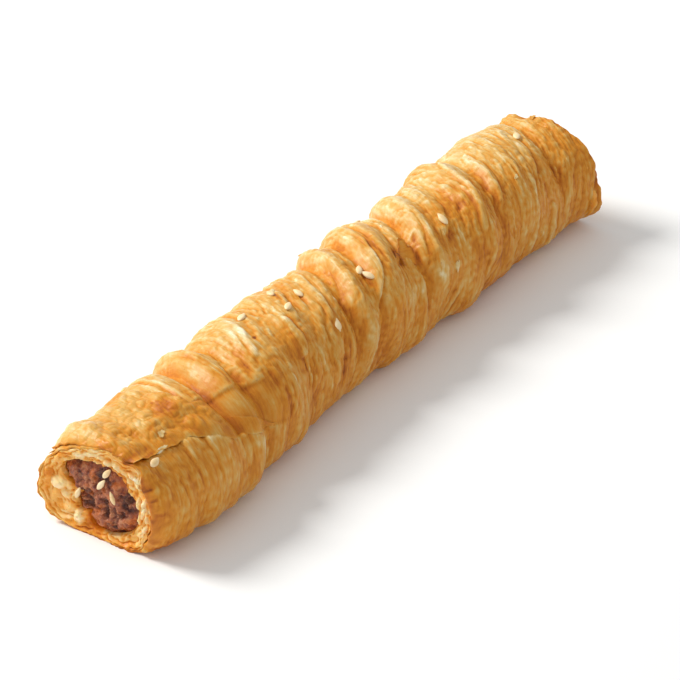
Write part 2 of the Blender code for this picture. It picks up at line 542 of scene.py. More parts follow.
@dataclass(frozen=True)
class FoldPattern:
    """The folds and the browning of the whole skin, with painted shade in its hollows and painted
    highlights on its ridges.

    Attributes:
        form: The stick.
        broad: The broad folds.
        narrow: The narrow folds between them.
        fine: The finest wrinkles.
        blisters: The blisters of the top sheet.
        crest: The small blisters along the rest of the crest.
        sheet: How far the top sheet reaches.
        broad_share: How much of the broad folds' height is used.
        fine_share: The same for the finest wrinkles.
        crinkles: Height and size of each of the two crinkles between the folds, in millimetres.
        fold_share: How much of all the folds' height is used.
        puff_place: Middle of the smooth puffed stretch on the crest, where wrinkles are few.
        puff_half_length: Half its length along the stick.
        puff_angle: Its middle round the stick, in degrees.
        sheet_thickness: How far the skin sinks under the top sheet.
        hem_height: How far the folds bulge low on the front, at most about half of this.
        ground: Browning that every spot has.
        bake_large: Change in browning over about 26 mm.
        bake_medium: Change in browning over about 8 mm.
        bake_and_shade_low: Added browning low on the sides, partly painted shade on the sides that face
            away from the key light.
        bake_rim: Added browning at the cut ends.
        stain_shade_and_sheen: How strongly the patches' browning, painted shade and painted highlights
            count.
        press: How strongly the patches' hollows count.
        overlaps: Folds given one by one, as the values of a Pleat.
        patches: Stretches baked paler or darker, some of them painted shade along creases and painted
            highlights on ridges, as the values of a Patch.
    """

    form: StickForm
    broad: PleatPlan = PleatPlan(84, (2.0, 4.0), (0.5, 1.3), (0.35, 0.95), 1.8, 0.6, 11)
    narrow: PleatPlan = PleatPlan(430, (0.7, 1.7), (0.3, 1.1), (0.15, 0.5), 2.0, 0.5, 12)
    fine: PleatPlan = PleatPlan(1900, (0.25, 0.5), (0.25, 0.8), (0.05, 0.15), 2.0, 0.3, 13)
    blisters: BlisterPlan = BlisterPlan(60, -1.0, 28.0, 20.0, 155.0, (1.2, 3.0), (0.12, 0.42), 14)
    crest: BlisterPlan = BlisterPlan(150, 38.0, 162.0, 40.0, 145.0, (0.5, 1.3), (0.08, 0.26), 17)
    sheet: SheetOutline = SheetOutline()
    broad_share: float = 0.72
    fine_share: float = 1.3
    crinkles: tuple = ((0.3, 3.4), (0.3, 1.5))
    fold_share: float = 0.85
    puff_place: float = 33.8
    puff_half_length: float = 3.6
    puff_angle: float = 91.0
    sheet_thickness: float = 0.5
    hem_height: float = 1.3
    ground: float = 0.4
    bake_large: float = 0.09
    bake_medium: float = 0.11
    bake_and_shade_low: float = 0.19
    bake_rim: float = 0.1
    stain_shade_and_sheen: float = 0.75
    press: float = 0.6
    overlaps: tuple = (
        (33.6, 1.5, 3.3, 0.8, 0.65, 2.5, 0.0, 0.2, 0.0),
        (40.2, 1.6, 2.2, 0.6, 1.1, 6.0, 0.0, 0.5, -0.4),
        (49.5, 1.6, 2.6, 0.55, 1.1, 6.5, 0.0, 0.5, -0.4),
        (57.0, 1.2, 4.4, 0.5, 1.2, 3.0, 0.0, 0.75, 0.2),
        (66.0, 1.7, 3.0, 0.5, 1.0, 8.0, 0.0, 0.5, -0.1),
        (75.5, 1.6, 1.5, 0.7, 1.1, 7.0, 0.0, 0.5, -0.5),
        (82.0, 1.65, 1.6, 0.6, 1.0, 7.0, 0.0, 0.4, -0.4),
        (91.8, 1.5, 2.8, 0.9, 1.5, 9.0, 0.0, 0.75, -0.3),
        (101.0, 1.7, 3.4, 0.7, 1.2, 9.0, 0.0, -0.6, 0.1),
        (108.0, 1.2, 2.0, 0.6, 1.0, 8.0, 0.0, 0.3, -0.3),
        (119.0, 1.6, 2.2, 0.7, 1.1, 7.0, 0.0, 0.4, -0.2),
        (129.8, 1.4, 2.2, 0.8, 1.3, 8.0, 0.0, -0.5, -0.3),
        (137.2, 1.4, 1.5, 0.6, 1.1, 6.0, 0.0, 0.3, -0.5),
        (144.3, 1.4, 2.4, 0.6, 1.1, 6.0, 0.0, 0.4, -0.3),
        (151.2, 1.45, 2.0, 0.7, 1.1, 6.0, 0.0, 0.4, -0.3),
        (156.5, 1.4, 1.6, 0.6, 0.9, 6.0, 0.0, 0.4, -0.2),
        (80.0, 3.6, 4.6, 0.9, 1.1, 6.0, 0.0, 0.7, 0.2),
        (112.0, 3.2, 4.2, 0.9, 1.1, 6.0, 0.0, -0.7, 0.0),
        (30.0, 3.5, 4.2, 0.9, 1.1, 4.0, 0.0, 0.7, 0.1),
        (146.0, 3.3, 4.2, 0.9, 1.1, 5.0, 0.0, 0.7, -0.1),
    )
    patches: tuple = (
        # Amber and brown, where the sheet lies thick or baked hard.
        (19.5, 78, 4, 10, 0.26), (12, 70, 2, 2.5, 0.25), (8, 75, 1.5, 6, 0.14), (2.5, 59, 3.5, 2.5, 0.2),
        (3, 52, 3, 2, 0.3), (45, 40, 3.5, 7, 0.2), (64, 74, 3, 6, 0.14), (57, 2, 4, 9, 0.12, 0.1),
        (70, 12, 2, 18, 0.2, 0.25), (126, 1, 3, 5, 0.16, 0.2), (5, -60, 9, 40, 0.2),
        (55, 200, 12, 25, 0.15),
        (120, 215, 10, 20, 0.18), (140, 170, 8, 25, 0.12),
        # Creases, dented, and darkened along them: partly browning, partly painted shade.
        (25, 100, 0.8, 40, 0.12, 0.6), (37, 80, 0.5, 22, 0.1, 0.4), (43, 64, 1.2, 9, 0.18, 0.4),
        (45, 78, 1.5, 11, 0.15, 0.4), (46.5, 21, 0.7, 13, 0.15, 0.3), (36.5, -2, 0.8, 16, 0.25, 0.6),
        (61.5, 68, 0.7, 14, 0.14, 0.45), (67.5, 105, 1.2, 8, 0.2, 0.3), (71, 91, 1, 6, 0.15, 0.2),
        (85, 59, 0.7, 12, 0.12, 0.35), (95.5, 86, 2, 14, 0.16, 0.25), (99, 103, 0.6, 22, 0.1, 0.4),
        (105, 54, 0.7, 11, 0.15, 0.4), (107.5, 70, 0.8, 4, 0.2, 0.3), (115, 47, 1.5, 12, 0.14, 0.4),
        (122.5, 65, 1.5, 4, 0.16, 0.3), (125.5, 80, 0.9, 8, 0.2, 0.4), (134, 69, 0.6, 13, 0.1, 0.35),
        (149, 42, 0.9, 16, 0.14, 0.4), (154, 35, 0.6, 18, 0.1, 0.25), (128.5, 8, 1, 18, 0.24, 0.5),
        (99, 67, 1.2, 6, 0.45, 0.4), (102.5, 71, 1.2, 4, 0.4, 0.35), (97.5, 55, 1.1, 4, 0.35, 0.3),
        # Cream, where the sheet is thin with air under it, partly painted highlights on ridges that face
        # the light.
        (26.5, 108, 0.6, 30, -0.22, -0.2), (30, 88, 0.7, 9, -0.25), (39, 88, 1.2, 15, -0.24),
        (41.5, 108, 0.8, 18, -0.18), (43, 85, 0.6, 10, -0.2), (47.5, 70, 0.9, 6, -0.32, -0.2),
        (44.5, 55, 1.2, 2.5, -0.3, -0.2), (50, 75, 0.6, 15, -0.22), (49.5, 92, 2, 9, -0.2),
        (60, 65, 1.4, 10, -0.18), (63, 102, 0.5, 11, -0.25, -0.15), (65, 86, 1.2, 4, -0.25),
        (69, 113, 2, 5, -0.25), (75, 87, 0.8, 8, -0.28, -0.15), (77, 112, 0.8, 16, -0.22),
        (82, 101, 0.8, 7, -0.26), (77, 68, 0.5, 7, -0.25, -0.15), (79.5, 58, 0.5, 7, -0.25, -0.15),
        (92, 72, 1.2, 13, -0.22), (95, 108, 1.2, 9, -0.24), (108, 66, 1, 7, -0.26, -0.15),
        (118.5, 89, 0.6, 7, -0.25), (128.5, 74, 0.6, 13, -0.26, -0.15), (131.5, 57, 0.4, 12, -0.18, -0.1),
        (133, 57, 0.4, 11, -0.18, -0.1), (137.5, 80, 0.5, 16, -0.3, -0.2), (143.5, 80, 0.8, 9, -0.24),
        (146, 71, 0.5, 9, -0.24, -0.15), (150.5, 78, 0.7, 8, -0.24), (152.5, 94, 0.7, 9, -0.2),
        (155, 72, 0.6, 8, -0.24, -0.15), (22.5, 36, 2.5, 4, -0.16), (30, 12, 4, 7, -0.18),
        (34, 0, 2.5, 12, -0.24, -0.2), (96, 22, 3.5, 11, -0.15), (85.5, 28, 2.5, 12, -0.12),
        (107, 30, 3, 9, -0.12), (69.5, 29, 1.5, 10, -0.2, -0.15), (62, 38, 5, 14, -0.08),
        (112, 22, 1.5, 4, -0.25, -0.2), (4, 75, 2, 5, -0.18), (11.5, 60, 2, 3, -0.22),
        (11.5, 82, 1.5, 4, -0.18), (9, 49, 1.3, 1.3, -0.28, -0.2), (90, 180, 9, 25, -0.12),
        # Specks baked almost black, and the browner rim that some of them lie on.
        (0.5, 29, 0.6, 1.6, 0.4), (0.5, 20, 0.5, 1.2, 0.4), (1, 8, 0.6, 2, 0.36), (0, -22, 0.4, 1.6, 0.25),
        (1.5, 10, 3, 30, 0.1), (51, 80, 0.7, 2, 0.9), (19, 91, 0.5, 2, 0.3), (3.5, 112, 0.8, 3, 0.25),
        (36, 14, 0.3, 1, 0.4), (120, 95, 0.3, 1.2, 0.4),
    )

    def read(self, along, angle) -> dict:
        """Work out relief and browning of the wraps, with painted shade and highlights in the browning.

        Args:
            along: Places along the stick, rows by columns.
            angle: Angle of each column, in radians.

        Returns:
            Arrays "relief" in millimetres, "bake" and "crease", each rows by columns.
        """
        form = self.form
        wave = NoiseField(5)
        turns = angle / (2.0 * np.pi)
        warp = 1.2 * wave.at(along / 17.0, turns * 7.0, 7) + 0.3 * wave.at(along / 5.0, turns * 20.0, 20)
        spot = along + warp
        by_hand = [Pleat(*row) for row in self.overlaps]
        broad, broad_tone = lay_pleats(spot, angle, [*self.broad.lay(form), *by_hand])
        narrow, narrow_tone = lay_pleats(spot, angle, self.narrow.lay(form))
        fine, fine_tone = lay_pleats(spot, angle, self.fine.lay(form))
        bulge = np.exp(-(((along - self.puff_place) / self.puff_half_length) ** 4))
        bulge = bulge * smooth_step(40.0, 24.0, np.abs(degrees_from(angle, self.puff_angle)))
        calm = 1.0 - 0.8 * bulge
        cover = self.sheet.cover(along, angle)
        below = smooth_step(0.05, -0.1, turn_between(angle, self.sheet.edge(along)))
        below = smooth_step(46.0, 36.0, along) * below
        calm = calm * (1.0 - 0.85 * cover) * (1.0 - 0.4 * below)
        folds = self.broad_share * (broad - 0.5) * (1.0 - 0.7 * cover) * (1.0 - 0.3 * below)
        crumpled = np.clip(0.8 + 1.1 * wave.at(along / 11.0 + 20.0, turns * 9.0, 9), 0.3, 1.4)
        folds = folds + calm * crumpled * (narrow - 0.25 + self.fine_share * (fine - 0.05))
        (large_height, large_size), (small_height, small_size) = self.crinkles
        crinkle = large_height * wave.billow(spot / large_size + 2.0, turns * 22.0, 22)
        crinkle = crinkle + small_height * wave.billow(spot / small_size + 5.0, turns * 46.0, 46) - 0.23
        folds = folds + crinkle * (1.0 - 0.9 * cover) * (1.0 - 0.5 * bulge)
        bubble, bubble_tone = self.raise_blisters(spot, angle, self.crest)
        folds = folds + bubble
        dent, amount = self.patch_effect(along, angle)
        pressed = form.resting(angle)
        relief = form.gather_relief(along, angle) + self.fold_share * folds - dent
        relief = relief + self.rim_waver(along, angle) + self.hem(along, angle)
        relief = relief - self.sheet_thickness * cover
        relief = relief * (1.0 - 0.8 * pressed)
        bake = self.slow_bake(along, angle) + amount
        bake = bake + 0.08 * narrow_tone * calm + 0.05 * broad_tone + 0.04 * fine_tone + 0.05 * bubble_tone
        bake = bake + 0.2 * pressed
        return {"relief": relief, **self.shade(relief, bake, 1.0)}

    def read_sheet(self, along, angle) -> dict:
        """Work out relief and browning of the top sheet, with painted shade and highlights in the browning.

        Args:
            along: Places along the stick, rows by columns.
            angle: Angles, rows by columns.

        Returns:
            Arrays "relief" in millimetres, "bake" and "crease", each rows by columns.
        """
        wave = NoiseField(15)
        turns = angle / (2.0 * np.pi)
        shift = 0.5 * wave.at(along / 3.0, turns * 30.0, 30)
        bubble, tone = self.raise_blisters(along + shift, angle, self.blisters)
        spot = along + 0.8 * shift
        crumple = 0.6 * wave.billow(spot / 5.0, turns * 18.0, 18)
        crumple = crumple + 0.35 * wave.billow(spot / 2.2 + 7.0, turns * 42.0, 42)
        crumple = 0.95 * crumple - 0.2 + 0.5 * wave.at(along / 7.0, turns * 12.0, 12)
        free = 0.15 + 0.85 * smooth_step(0.0, 0.25, turn_between(angle, self.sheet.edge(along)))
        free = free * (0.3 + 0.7 * smooth_step(30.0, 22.0, along))
        relief = self.form.gather_relief(along, angle) + free * (bubble + crumple) + 0.05
        relief = relief + self.rim_waver(along, angle)
        amount = self.patch_effect(along, angle)[1]
        bake = self.slow_bake(along, angle) + amount + 0.1 * np.maximum(tone, -0.3) - 0.1 * crumple
        return {"relief": relief, **self.shade(relief, bake + 0.06, 0.6)}

    def raise_blisters(self, along, angle, plan: BlisterPlan) -> tuple:
        """Find the highest blister at every point.

        Args:
            along: Places along the stick.
            angle: Angles round it.
            plan: How the blisters are laid.

        Returns:
            The height and the tone at every point.
        """
        bubble = np.zeros(np.broadcast(along, angle).shape)
        tone = np.zeros(bubble.shape)
        for blister in plan.lay():
            turn = turn_between(angle, blister.angle)
            across = (along - blister.place - 3.0 * turn) / blister.half_width
            far = across**2 + (turn / blister.half_turn) ** 2
            dome = blister.height * np.clip(1.0 - far, 0.0, 1.0) ** 0.6
            tone = np.where(dome > bubble, blister.tone, tone)
            bubble = np.maximum(bubble, dome)
        return bubble, tone

    def hem(self, along, angle):
        """How far the folds bulge out or draw in low on the front, by the table."""
        low = np.exp(-(((degrees_from(angle, 0.0) + 14.0) / 30.0) ** 2))
        inner = smooth_step(0.0, 14.0, np.minimum(along, self.form.length - along))
        bulge = NoiseField(18).at(along / 9.0, 0.5) + 0.4 * NoiseField(18).at(along / 4.0, 6.5)
        return self.hem_height * bulge * low * inner

    def rim_waver(self, along, angle):
        """Unevenness of the outline close to both cut ends."""
        from_end = np.minimum(along, self.form.length - along)
        wave = NoiseField(16)
        turns = angle / (2.0 * np.pi)
        side = 30.0 * (along > self.form.length / 2.0)
        waver = 0.9 * wave.at(turns * 15.0, side) + 0.4 * wave.at(turns * 43.0, 7.5 + side)
        return waver * np.exp(-np.maximum(from_end, 0.0) / 3.0)

    def slow_bake(self, along, angle):
        """Browning that changes slowly over the skin, with painted shade on the side that faces away from
        the key light.
        """
        wave = NoiseField(5)
        turns = angle / (2.0 * np.pi)
        large = wave.at(along / 26.0 + 9.0, turns * 5.0, 5)
        medium = wave.at(along / 8.0 + 3.0, turns * 12.0, 12)
        low = np.abs(turn_between(angle, np.radians(125.0)))
        bake = self.ground + self.bake_large * large + self.bake_medium * medium
        # Browner the further a spot faces from the key light, round the front and the base: partly
        # browning, partly painted shade.
        bake = bake + self.bake_and_shade_low * smooth_step(0.2, 1.2, low)
        from_end = np.minimum(along, self.form.length - along)
        return bake + self.bake_rim * np.exp(-np.maximum(from_end, 0.0))

    def shade(self, relief, bake, strength: float) -> dict:
        """Paint shade into the hollows and highlights onto the ridges, through the browning.

        Args:
            relief: Height over the mean surface, rows by columns.
            bake: Browning before this.
            strength: How strongly the painted shade in hollows and the painted highlights on ridges count.

        Returns:
            Arrays "bake" and "crease".
        """
        near = relief - soften(soften(relief, 3, 2), 2, 1)
        wide = relief - soften(soften(relief, 7, 4), 6, 4)
        # Painted shade in the hollows, and a painted highlight on the ridges that pales the browning.
        hollow = np.clip(-near / 0.24, 0.0, 1.0) + 0.45 * np.clip(-wide / 0.8, 0.0, 1.0)
        ridge_highlight = np.clip(near / 0.16, 0.0, 1.0)
        return {"bake": bake - 0.19 * strength * ridge_highlight, "crease_shade": strength * np.clip(hollow, 0.0, 1.0)}

    def run(self, along, angle):
        """Coordinates that follow the folds: across them, along them, and nothing."""
        turn = turn_between(angle, 0.5 * np.pi)
        across = along - slant_of_folds(along, angle) * turn
        return np.stack(np.broadcast_arrays(across, 15.0 * turn, 0.0), axis=-1)

    def patch_effect(self, along, angle) -> tuple:
        """Depth and browning that the patches add at every point, with painted shade and highlights in the
        browning.
        """
        dent = np.zeros(np.broadcast(along, angle).shape)
        amount = np.zeros(dent.shape)
        edge = NoiseField(8)
        rough = 0.9 * edge.at(along / 2.6, angle / (2.0 * np.pi) * 22.0, 22)
        for patch in (Patch(*row) for row in self.patches):
            middle = np.radians(patch.angle)
            turn = turn_between(angle, middle)
            ahead = along - patch.place - 0.85 * slant_of_folds(patch.place, middle) * turn
            far = np.hypot(ahead / patch.half_length, np.degrees(turn) / patch.half_turn)
            share = smooth_step(1.35, 0.25, far + min(0.3 * patch.half_length, 0.9) * rough)
            # Browning, with painted shade along creases and painted highlights in cream patches.
            amount = amount + self.stain_shade_and_sheen * patch.amount * share
            dent = dent + self.press * patch.dent * share
        return dent, amount


# ------------------------------------------------------------------------ mesh making


def deselect_all() -> None:
    """Leave nothing selected."""
    bpy.ops.object.select_all(action="DESELECT")


def name_piece(piece: bpy.types.Object, name: str) -> bpy.types.Object:
    """Name an object and its mesh alike, and hand it back."""
    piece.name = name
    piece.data.name = name
    return piece


def move_points(piece: bpy.types.Object, points: np.ndarray) -> None:
    """Put a mesh's vertices at new places, given in millimetres."""
    piece.data.vertices.foreach_set("co", (points * MM).astype(np.float32).ravel())
    piece.data.update()


def read_points(piece: bpy.types.Object) -> np.ndarray:
    """Read a mesh's vertices, one row each."""
    points = np.empty(len(piece.data.vertices) * 3, dtype=np.float32)
    piece.data.vertices.foreach_get("co", points)
    return points.reshape(-1, 3).astype(float)


def store_values(piece: bpy.types.Object, name: str, values: np.ndarray) -> None:
    """Keep one number for each vertex under a name that materials read."""
    layer = piece.data.attributes.new(name, "FLOAT", "POINT")
    layer.data.foreach_set("value", values.astype(np.float32).ravel())


def store_vectors(piece: bpy.types.Object, name: str, values: np.ndarray) -> None:
    """Keep a vector for each vertex under a name that materials read."""
    layer = piece.data.attributes.new(name, "FLOAT_VECTOR", "POINT")
    layer.data.foreach_set("vector", values.astype(np.float32).ravel())


def face_outwards(piece: bpy.types.Object) -> None:
    """Turn all faces of a closed mesh outwards and shade them smooth."""
    deselect_all()
    bpy.context.view_layer.objects.active = piece
    piece.select_set(True)
    bpy.ops.object.mode_set(mode="EDIT")
    bpy.ops.mesh.select_all(action="SELECT")
    bpy.ops.mesh.normals_make_consistent(inside=False)
    bpy.ops.object.mode_set(mode="OBJECT")
    bpy.ops.object.shade_smooth()
    piece.select_set(False)


def add_tube(name: str, rows: int, columns: int) -> tuple:
    """Add a ring-shaped tube, closed both ways, to be shaped into a wrap.

    Args:
        name: Name of the new piece.
        rows: Rings along the tube.
        columns: Points round each ring.

    Returns:
        The object, and each vertex's row and column.
    """
    deselect_all()
    bpy.ops.mesh.primitive_torus_add(
        major_segments=rows, minor_segments=columns, major_radius=1.0, minor_radius=0.25
    )
    piece = name_piece(bpy.context.active_object, name)
    points = read_points(piece)
    major = np.arctan2(points[:, 1], points[:, 0]) / (2.0 * np.pi)
    minor = np.arctan2(points[:, 2], np.hypot(points[:, 0], points[:, 1]) - 1.0) / (2.0 * np.pi)
    row = np.rint(major * rows).astype(int) % rows
    column = np.rint(minor * columns).astype(int) % columns
    return piece, row, column


def add_slab(name: str, top: np.ndarray, under: np.ndarray) -> tuple:
    """Add a closed thin sheet between two grids of points.

    Args:
        name: Name of the new piece.
        top: Points of its upper side, rows by columns, in millimetres.
        under: Points of its lower side, in the same order.

    Returns:
        The object, and for each vertex whether it is on the lower side, its row and its
        column.
    """
    rows, columns = top.shape[:2]
    deselect_all()
    bpy.ops.mesh.primitive_grid_add(x_subdivisions=columns - 1, y_subdivisions=rows - 1, size=2.0)
    piece = name_piece(bpy.context.active_object, name)
    bpy.ops.object.mode_set(mode="EDIT")
    bpy.ops.mesh.select_all(action="SELECT")
    bpy.ops.mesh.extrude_region_move(TRANSFORM_OT_translate={"value": (0.0, 0.0, -1.0)})
    bpy.ops.object.mode_set(mode="OBJECT")
    flat = read_points(piece)
    lower = flat[:, 2] < -0.5
    column = np.rint((flat[:, 0] + 1.0) * 0.5 * (columns - 1)).astype(int)
    row = np.rint((flat[:, 1] + 1.0) * 0.5 * (rows - 1)).astype(int)
    move_points(piece, np.where(lower[:, None], under[row, column], top[row, column]))
    return piece, lower, row, column


def join_pieces(name: str, parts: list) -> bpy.types.Object:
    """Join several meshes into one piece.

    Args:
        name: Its name.
        parts: The meshes.

    Returns:
        The piece.
    """
    deselect_all()
    for part in parts:
        part.select_set(True)
    bpy.context.view_layer.objects.active = parts[0]
    bpy.ops.object.join()
    return name_piece(bpy.context.active_object, name)


def finish_piece(piece: bpy.types.Object, material: bpy.types.Material, slot: str, *nodes: str) -> None:
    """Dress a piece and join it to the frame.

    Args:
        piece: The finished mesh.
        material: Its material.
        slot: Not used.
        nodes: Frame nodes that it stands for.
    """
    piece.data.materials.clear()
    piece.data.materials.append(material)
    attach(piece, "root")
    for node in nodes:
        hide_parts(node)
    LOG.info("%s: %d faces", piece.name, len(piece.data.polygons))


# ---------------------------------------------------------------------------- finishes


class Tree:
    """A short way to add and join shader nodes."""

    def __init__(self, tree: bpy.types.NodeTree) -> None:
        """Work on a node tree."""
        self.tree = tree

    def add(self, kind: str, **settings) -> bpy.types.Node:
        """Add a node.

        Args:
            kind: The node's type, without the "ShaderNode" it starts with.
            settings: Properties of the node, or values of its inputs, by name with
                underscores for spaces.

        Returns:
            The node.
        """
        node = self.tree.nodes.new("ShaderNode" + kind)
        for key, value in settings.items():
            if hasattr(node, key):
                setattr(node, key, value)
            else:
                node.inputs[key.replace("_", " ")].default_value = value
        return node

    def join(self, source, target) -> None:
        """Link an output to an input."""
        self.tree.links.new(source, target)

    def maths(self, operation: str, first, second=None, third=None):
        """Add a Math node on sockets or numbers, and return its output."""
        node = self.tree.nodes.new("ShaderNodeMath")
        node.operation = operation
        for number, value in enumerate((first, second, third)):
            if value is None:
                continue
            if isinstance(value, (int, float)):
                node.inputs[number].default_value = value
            else:
                self.join(value, node.inputs[number])
        return node.outputs[0]

    def blend(self, factor, first, second):
        """Mix two colours by a factor, each a socket or a value; returns the output."""
        node = self.tree.nodes.new("ShaderNodeMix")
        node.data_type = "RGBA"
        for socket, value in ((node.inputs[0], factor), (node.inputs[6], first), (node.inputs[7], second)):
            if isinstance(value, (int, float, tuple)):
                socket.default_value = value
            else:
                self.join(value, socket)
        return node.outputs[2]

    def ramp(self, factor, stops: tuple):
        """Add a colour ramp of (place, colour) stops on a factor; returns its colour."""
        node = self.tree.nodes.new("ShaderNodeValToRGB")
        marks = node.color_ramp.elements
        while len(marks) < len(stops):
            marks.new(0.5)
        for mark, (place, colour) in zip(marks, stops):
            mark.position = place
            mark.color = (*colour, 1.0)
        self.join(factor, node.inputs[0])
        return node.outputs[0]


def srgb(red: int, green: int, blue: int) -> tuple:
    """Linear colour of an 8-bit screen colour."""
    return tuple(
        (part / 255.0 / 12.92) if part <= 10 else ((part / 255.0 + 0.055) / 1.055) ** 2.4
        for part in (red, green, blue)
    )


def new_group(name: str, inputs: dict, outputs: dict) -> tuple:
    """Start a shader node group.

    Args:
        name: Its name.
        inputs: Socket type of each input, by name.
        outputs: Socket type of each output, by name.

    Returns:
        The group's Tree, its input node and its output node.
    """
    group = bpy.data.node_groups.new(name, "ShaderNodeTree")
    for key, kind in inputs.items():
        group.interface.new_socket(key, in_out="INPUT", socket_type=kind)
    for key, kind in outputs.items():
        group.interface.new_socket(key, in_out="OUTPUT", socket_type=kind)
    tree = Tree(group)
    return tree, tree.tree.nodes.new("NodeGroupInput"), tree.tree.nodes.new("NodeGroupOutput")


def build_mottle_group() -> bpy.types.NodeTree:
    """Build the mottling that all the food shares: blotches, specks and a fine grain.

    Returns:
        A group with outputs Blotch and Speck, from 0 to 1, and Height for a bump.
    """
    tree, given, out = new_group(
        "food_mottle",
        {"Vector": "NodeSocketVector", "Blotch Scale": "NodeSocketFloat", "Grain Scale": "NodeSocketFloat"},
        {"Blotch": "NodeSocketFloat", "Speck": "NodeSocketFloat", "Height": "NodeSocketFloat"},
    )
    blotch = tree.add("TexNoise", Detail=5.0, Roughness=0.6, Distortion=0.4)
    tree.join(given.outputs["Vector"], blotch.inputs["Vector"])
    tree.join(given.outputs["Blotch Scale"], blotch.inputs["Scale"])
    tree.join(blotch.outputs[0], out.inputs["Blotch"])
    dots = tree.add("TexVoronoi", Randomness=1.0)
    tree.join(given.outputs["Vector"], dots.inputs["Vector"])
    tree.join(given.outputs["Grain Scale"], dots.inputs["Scale"])
    near = tree.maths("LESS_THAN", dots.outputs["Distance"], 0.28)
    chosen = tree.maths("GREATER_THAN", dots.outputs["Color"], 0.82)
    tree.join(tree.maths("MULTIPLY", near, chosen), out.inputs["Speck"])
    grain = tree.add("TexNoise", Detail=4.0, Roughness=0.65)
    tree.join(given.outputs["Vector"], grain.inputs["Vector"])
    tree.join(given.outputs["Grain Scale"], grain.inputs["Scale"])
    tree.join(grain.outputs[0], out.inputs["Height"])
    return tree.tree


def start_material(name: str, mottle: bpy.types.NodeTree, blotch: float, grain: float) -> tuple:
    """Start a material that has the food's mottling.

    Args:
        name: Its name.
        mottle: The group for the mottling.
        blotch: Blotches to a metre.
        grain: Grains to a metre.

    Returns:
        The material, its Tree and the mottling's node.
    """
    material = bpy.data.materials.new(name)
    material.use_nodes = True
    tree = Tree(material.node_tree)
    place = tree.add("TexCoord")
    node = tree.add("Group", node_tree=mottle, Blotch_Scale=blotch, Grain_Scale=grain)
    tree.join(place.outputs["Object"], node.inputs["Vector"])
    return material, tree, node


def join_shader(tree: Tree, colour, rough, height, strength: float, depth: float) -> None:
    """Join a material's looks to its shader.

    Args:
        tree: The material's Tree.
        colour: Socket of the colour.
        rough: Socket of the roughness.
        height: Socket of the bump's height.
        strength: Strength of the bump.
        depth: Depth of the bump, in metres.
    """
    shader = tree.tree.nodes["Principled BSDF"]
    tree.join(colour, shader.inputs["Base Color"])
    tree.join(rough, shader.inputs["Roughness"])
    bump = tree.add("Bump", Strength=strength, Distance=depth)
    tree.join(height, bump.inputs["Height"])
    tree.join(bump.outputs[0], shader.inputs["Normal"])


@dataclass(frozen=True)
class FiloFinish:
    """Baked filo, coloured by how long each spot baked, with painted shade in its creases and painted
    highlights on its ridges.
    """

    name: str
    mottle: bpy.types.NodeTree
    shift: float = 0.0
    gloss: float = 0.33
    bump: float = 0.00016
    stops: tuple = (
        (0.0, srgb(242, 228, 192)),
        (0.2, srgb(226, 196, 136)),
        (0.4, srgb(217, 166, 82)),
        (0.6, srgb(213, 138, 36)),
        (0.82, srgb(186, 104, 20)),
        (1.0, srgb(132, 68, 18)),
    )
    streaking: float = 0.46
    glow: float = 0.1

    def build(self) -> bpy.types.Material:
        """Make the material."""
        material, tree, mottle = start_material(self.name, self.mottle, 170.0, 1500.0)
        bake = tree.add("Attribute", attribute_name="bake")
        crease_shade = tree.add("Attribute", attribute_name="crease_shade")
        run = tree.add("Attribute", attribute_name="run")
        streak = self.streaks(tree, run.outputs["Vector"], (2.2, 0.2, 1.0), 5.0)
        veil = self.streaks(tree, run.outputs["Vector"], (0.55, 0.2, 1.0), 4.0)
        thin = tree.maths("MULTIPLY_ADD", veil, 7.0, -3.75)
        thin = tree.maths("MINIMUM", tree.maths("MAXIMUM", thin, 0.0), 1.0)
        blotch = tree.maths("MULTIPLY_ADD", mottle.outputs["Blotch"], 0.3, self.shift - 0.15)
        streaks = tree.maths("MULTIPLY_ADD", streak, self.streaking, -0.5 * self.streaking)
        blotch = tree.maths("ADD", blotch, streaks)
        browned_and_shaded = tree.maths("ADD", bake.outputs["Fac"], blotch)
        browned_and_shaded = tree.maths("MULTIPLY_ADD", thin, -0.17, browned_and_shaded)
        # Painted shade: deeper browning in the creases.
        browned_and_shaded = tree.maths("MULTIPLY_ADD", crease_shade.outputs["Fac"], 0.2, browned_and_shaded)
        colour = tree.ramp(browned_and_shaded, self.stops)
        speck = tree.maths("MULTIPLY", mottle.outputs["Speck"], 0.35)
        colour = tree.blend(speck, colour, (*srgb(170, 96, 36), 1.0))
        rough = tree.maths("MULTIPLY_ADD", mottle.outputs["Blotch"], 0.25, self.gloss - 0.1)
        rough = tree.maths("MULTIPLY_ADD", crease_shade.outputs["Fac"], 0.35, rough)
        shader = tree.tree.nodes["Principled BSDF"]
        shader.inputs["IOR"].default_value = 1.42
        shader.inputs["Specular IOR Level"].default_value = 0.28
        shader.inputs["Coat Weight"].default_value = 0.05
        shader.inputs["Coat Roughness"].default_value = 0.2
        shader.inputs["Subsurface Weight"].default_value = self.glow
        shader.inputs["Subsurface Radius"].default_value = (1.0, 0.6, 0.25)
        shader.inputs["Subsurface Scale"].default_value = 0.001
        height = tree.maths("MULTIPLY_ADD", streak, 1.6, mottle.outputs["Height"])
        join_shader(tree, colour, rough, height, 0.5, self.bump)
        return material

    @staticmethod
    def streaks(tree: Tree, run, scale: tuple, detail: float):
        """Add noise drawn out along the folds, and return its output.

        Args:
            tree: The material's tree.
            run: Socket with the coordinates that follow the folds.
            scale: Cells for each millimetre across the folds, along them, and for layers.
            detail: Octaves of the noise.

        Returns:
            The noise's output.
        """
        drawn = tree.add("Mapping")
        drawn.inputs["Scale"].default_value = scale
        tree.join(run, drawn.inputs["Vector"])
        noise = tree.add("TexNoise", Scale=1.0, Detail=detail, Roughness=0.62)
        tree.join(drawn.outputs[0], noise.inputs["Vector"])
        return noise.outputs[0]


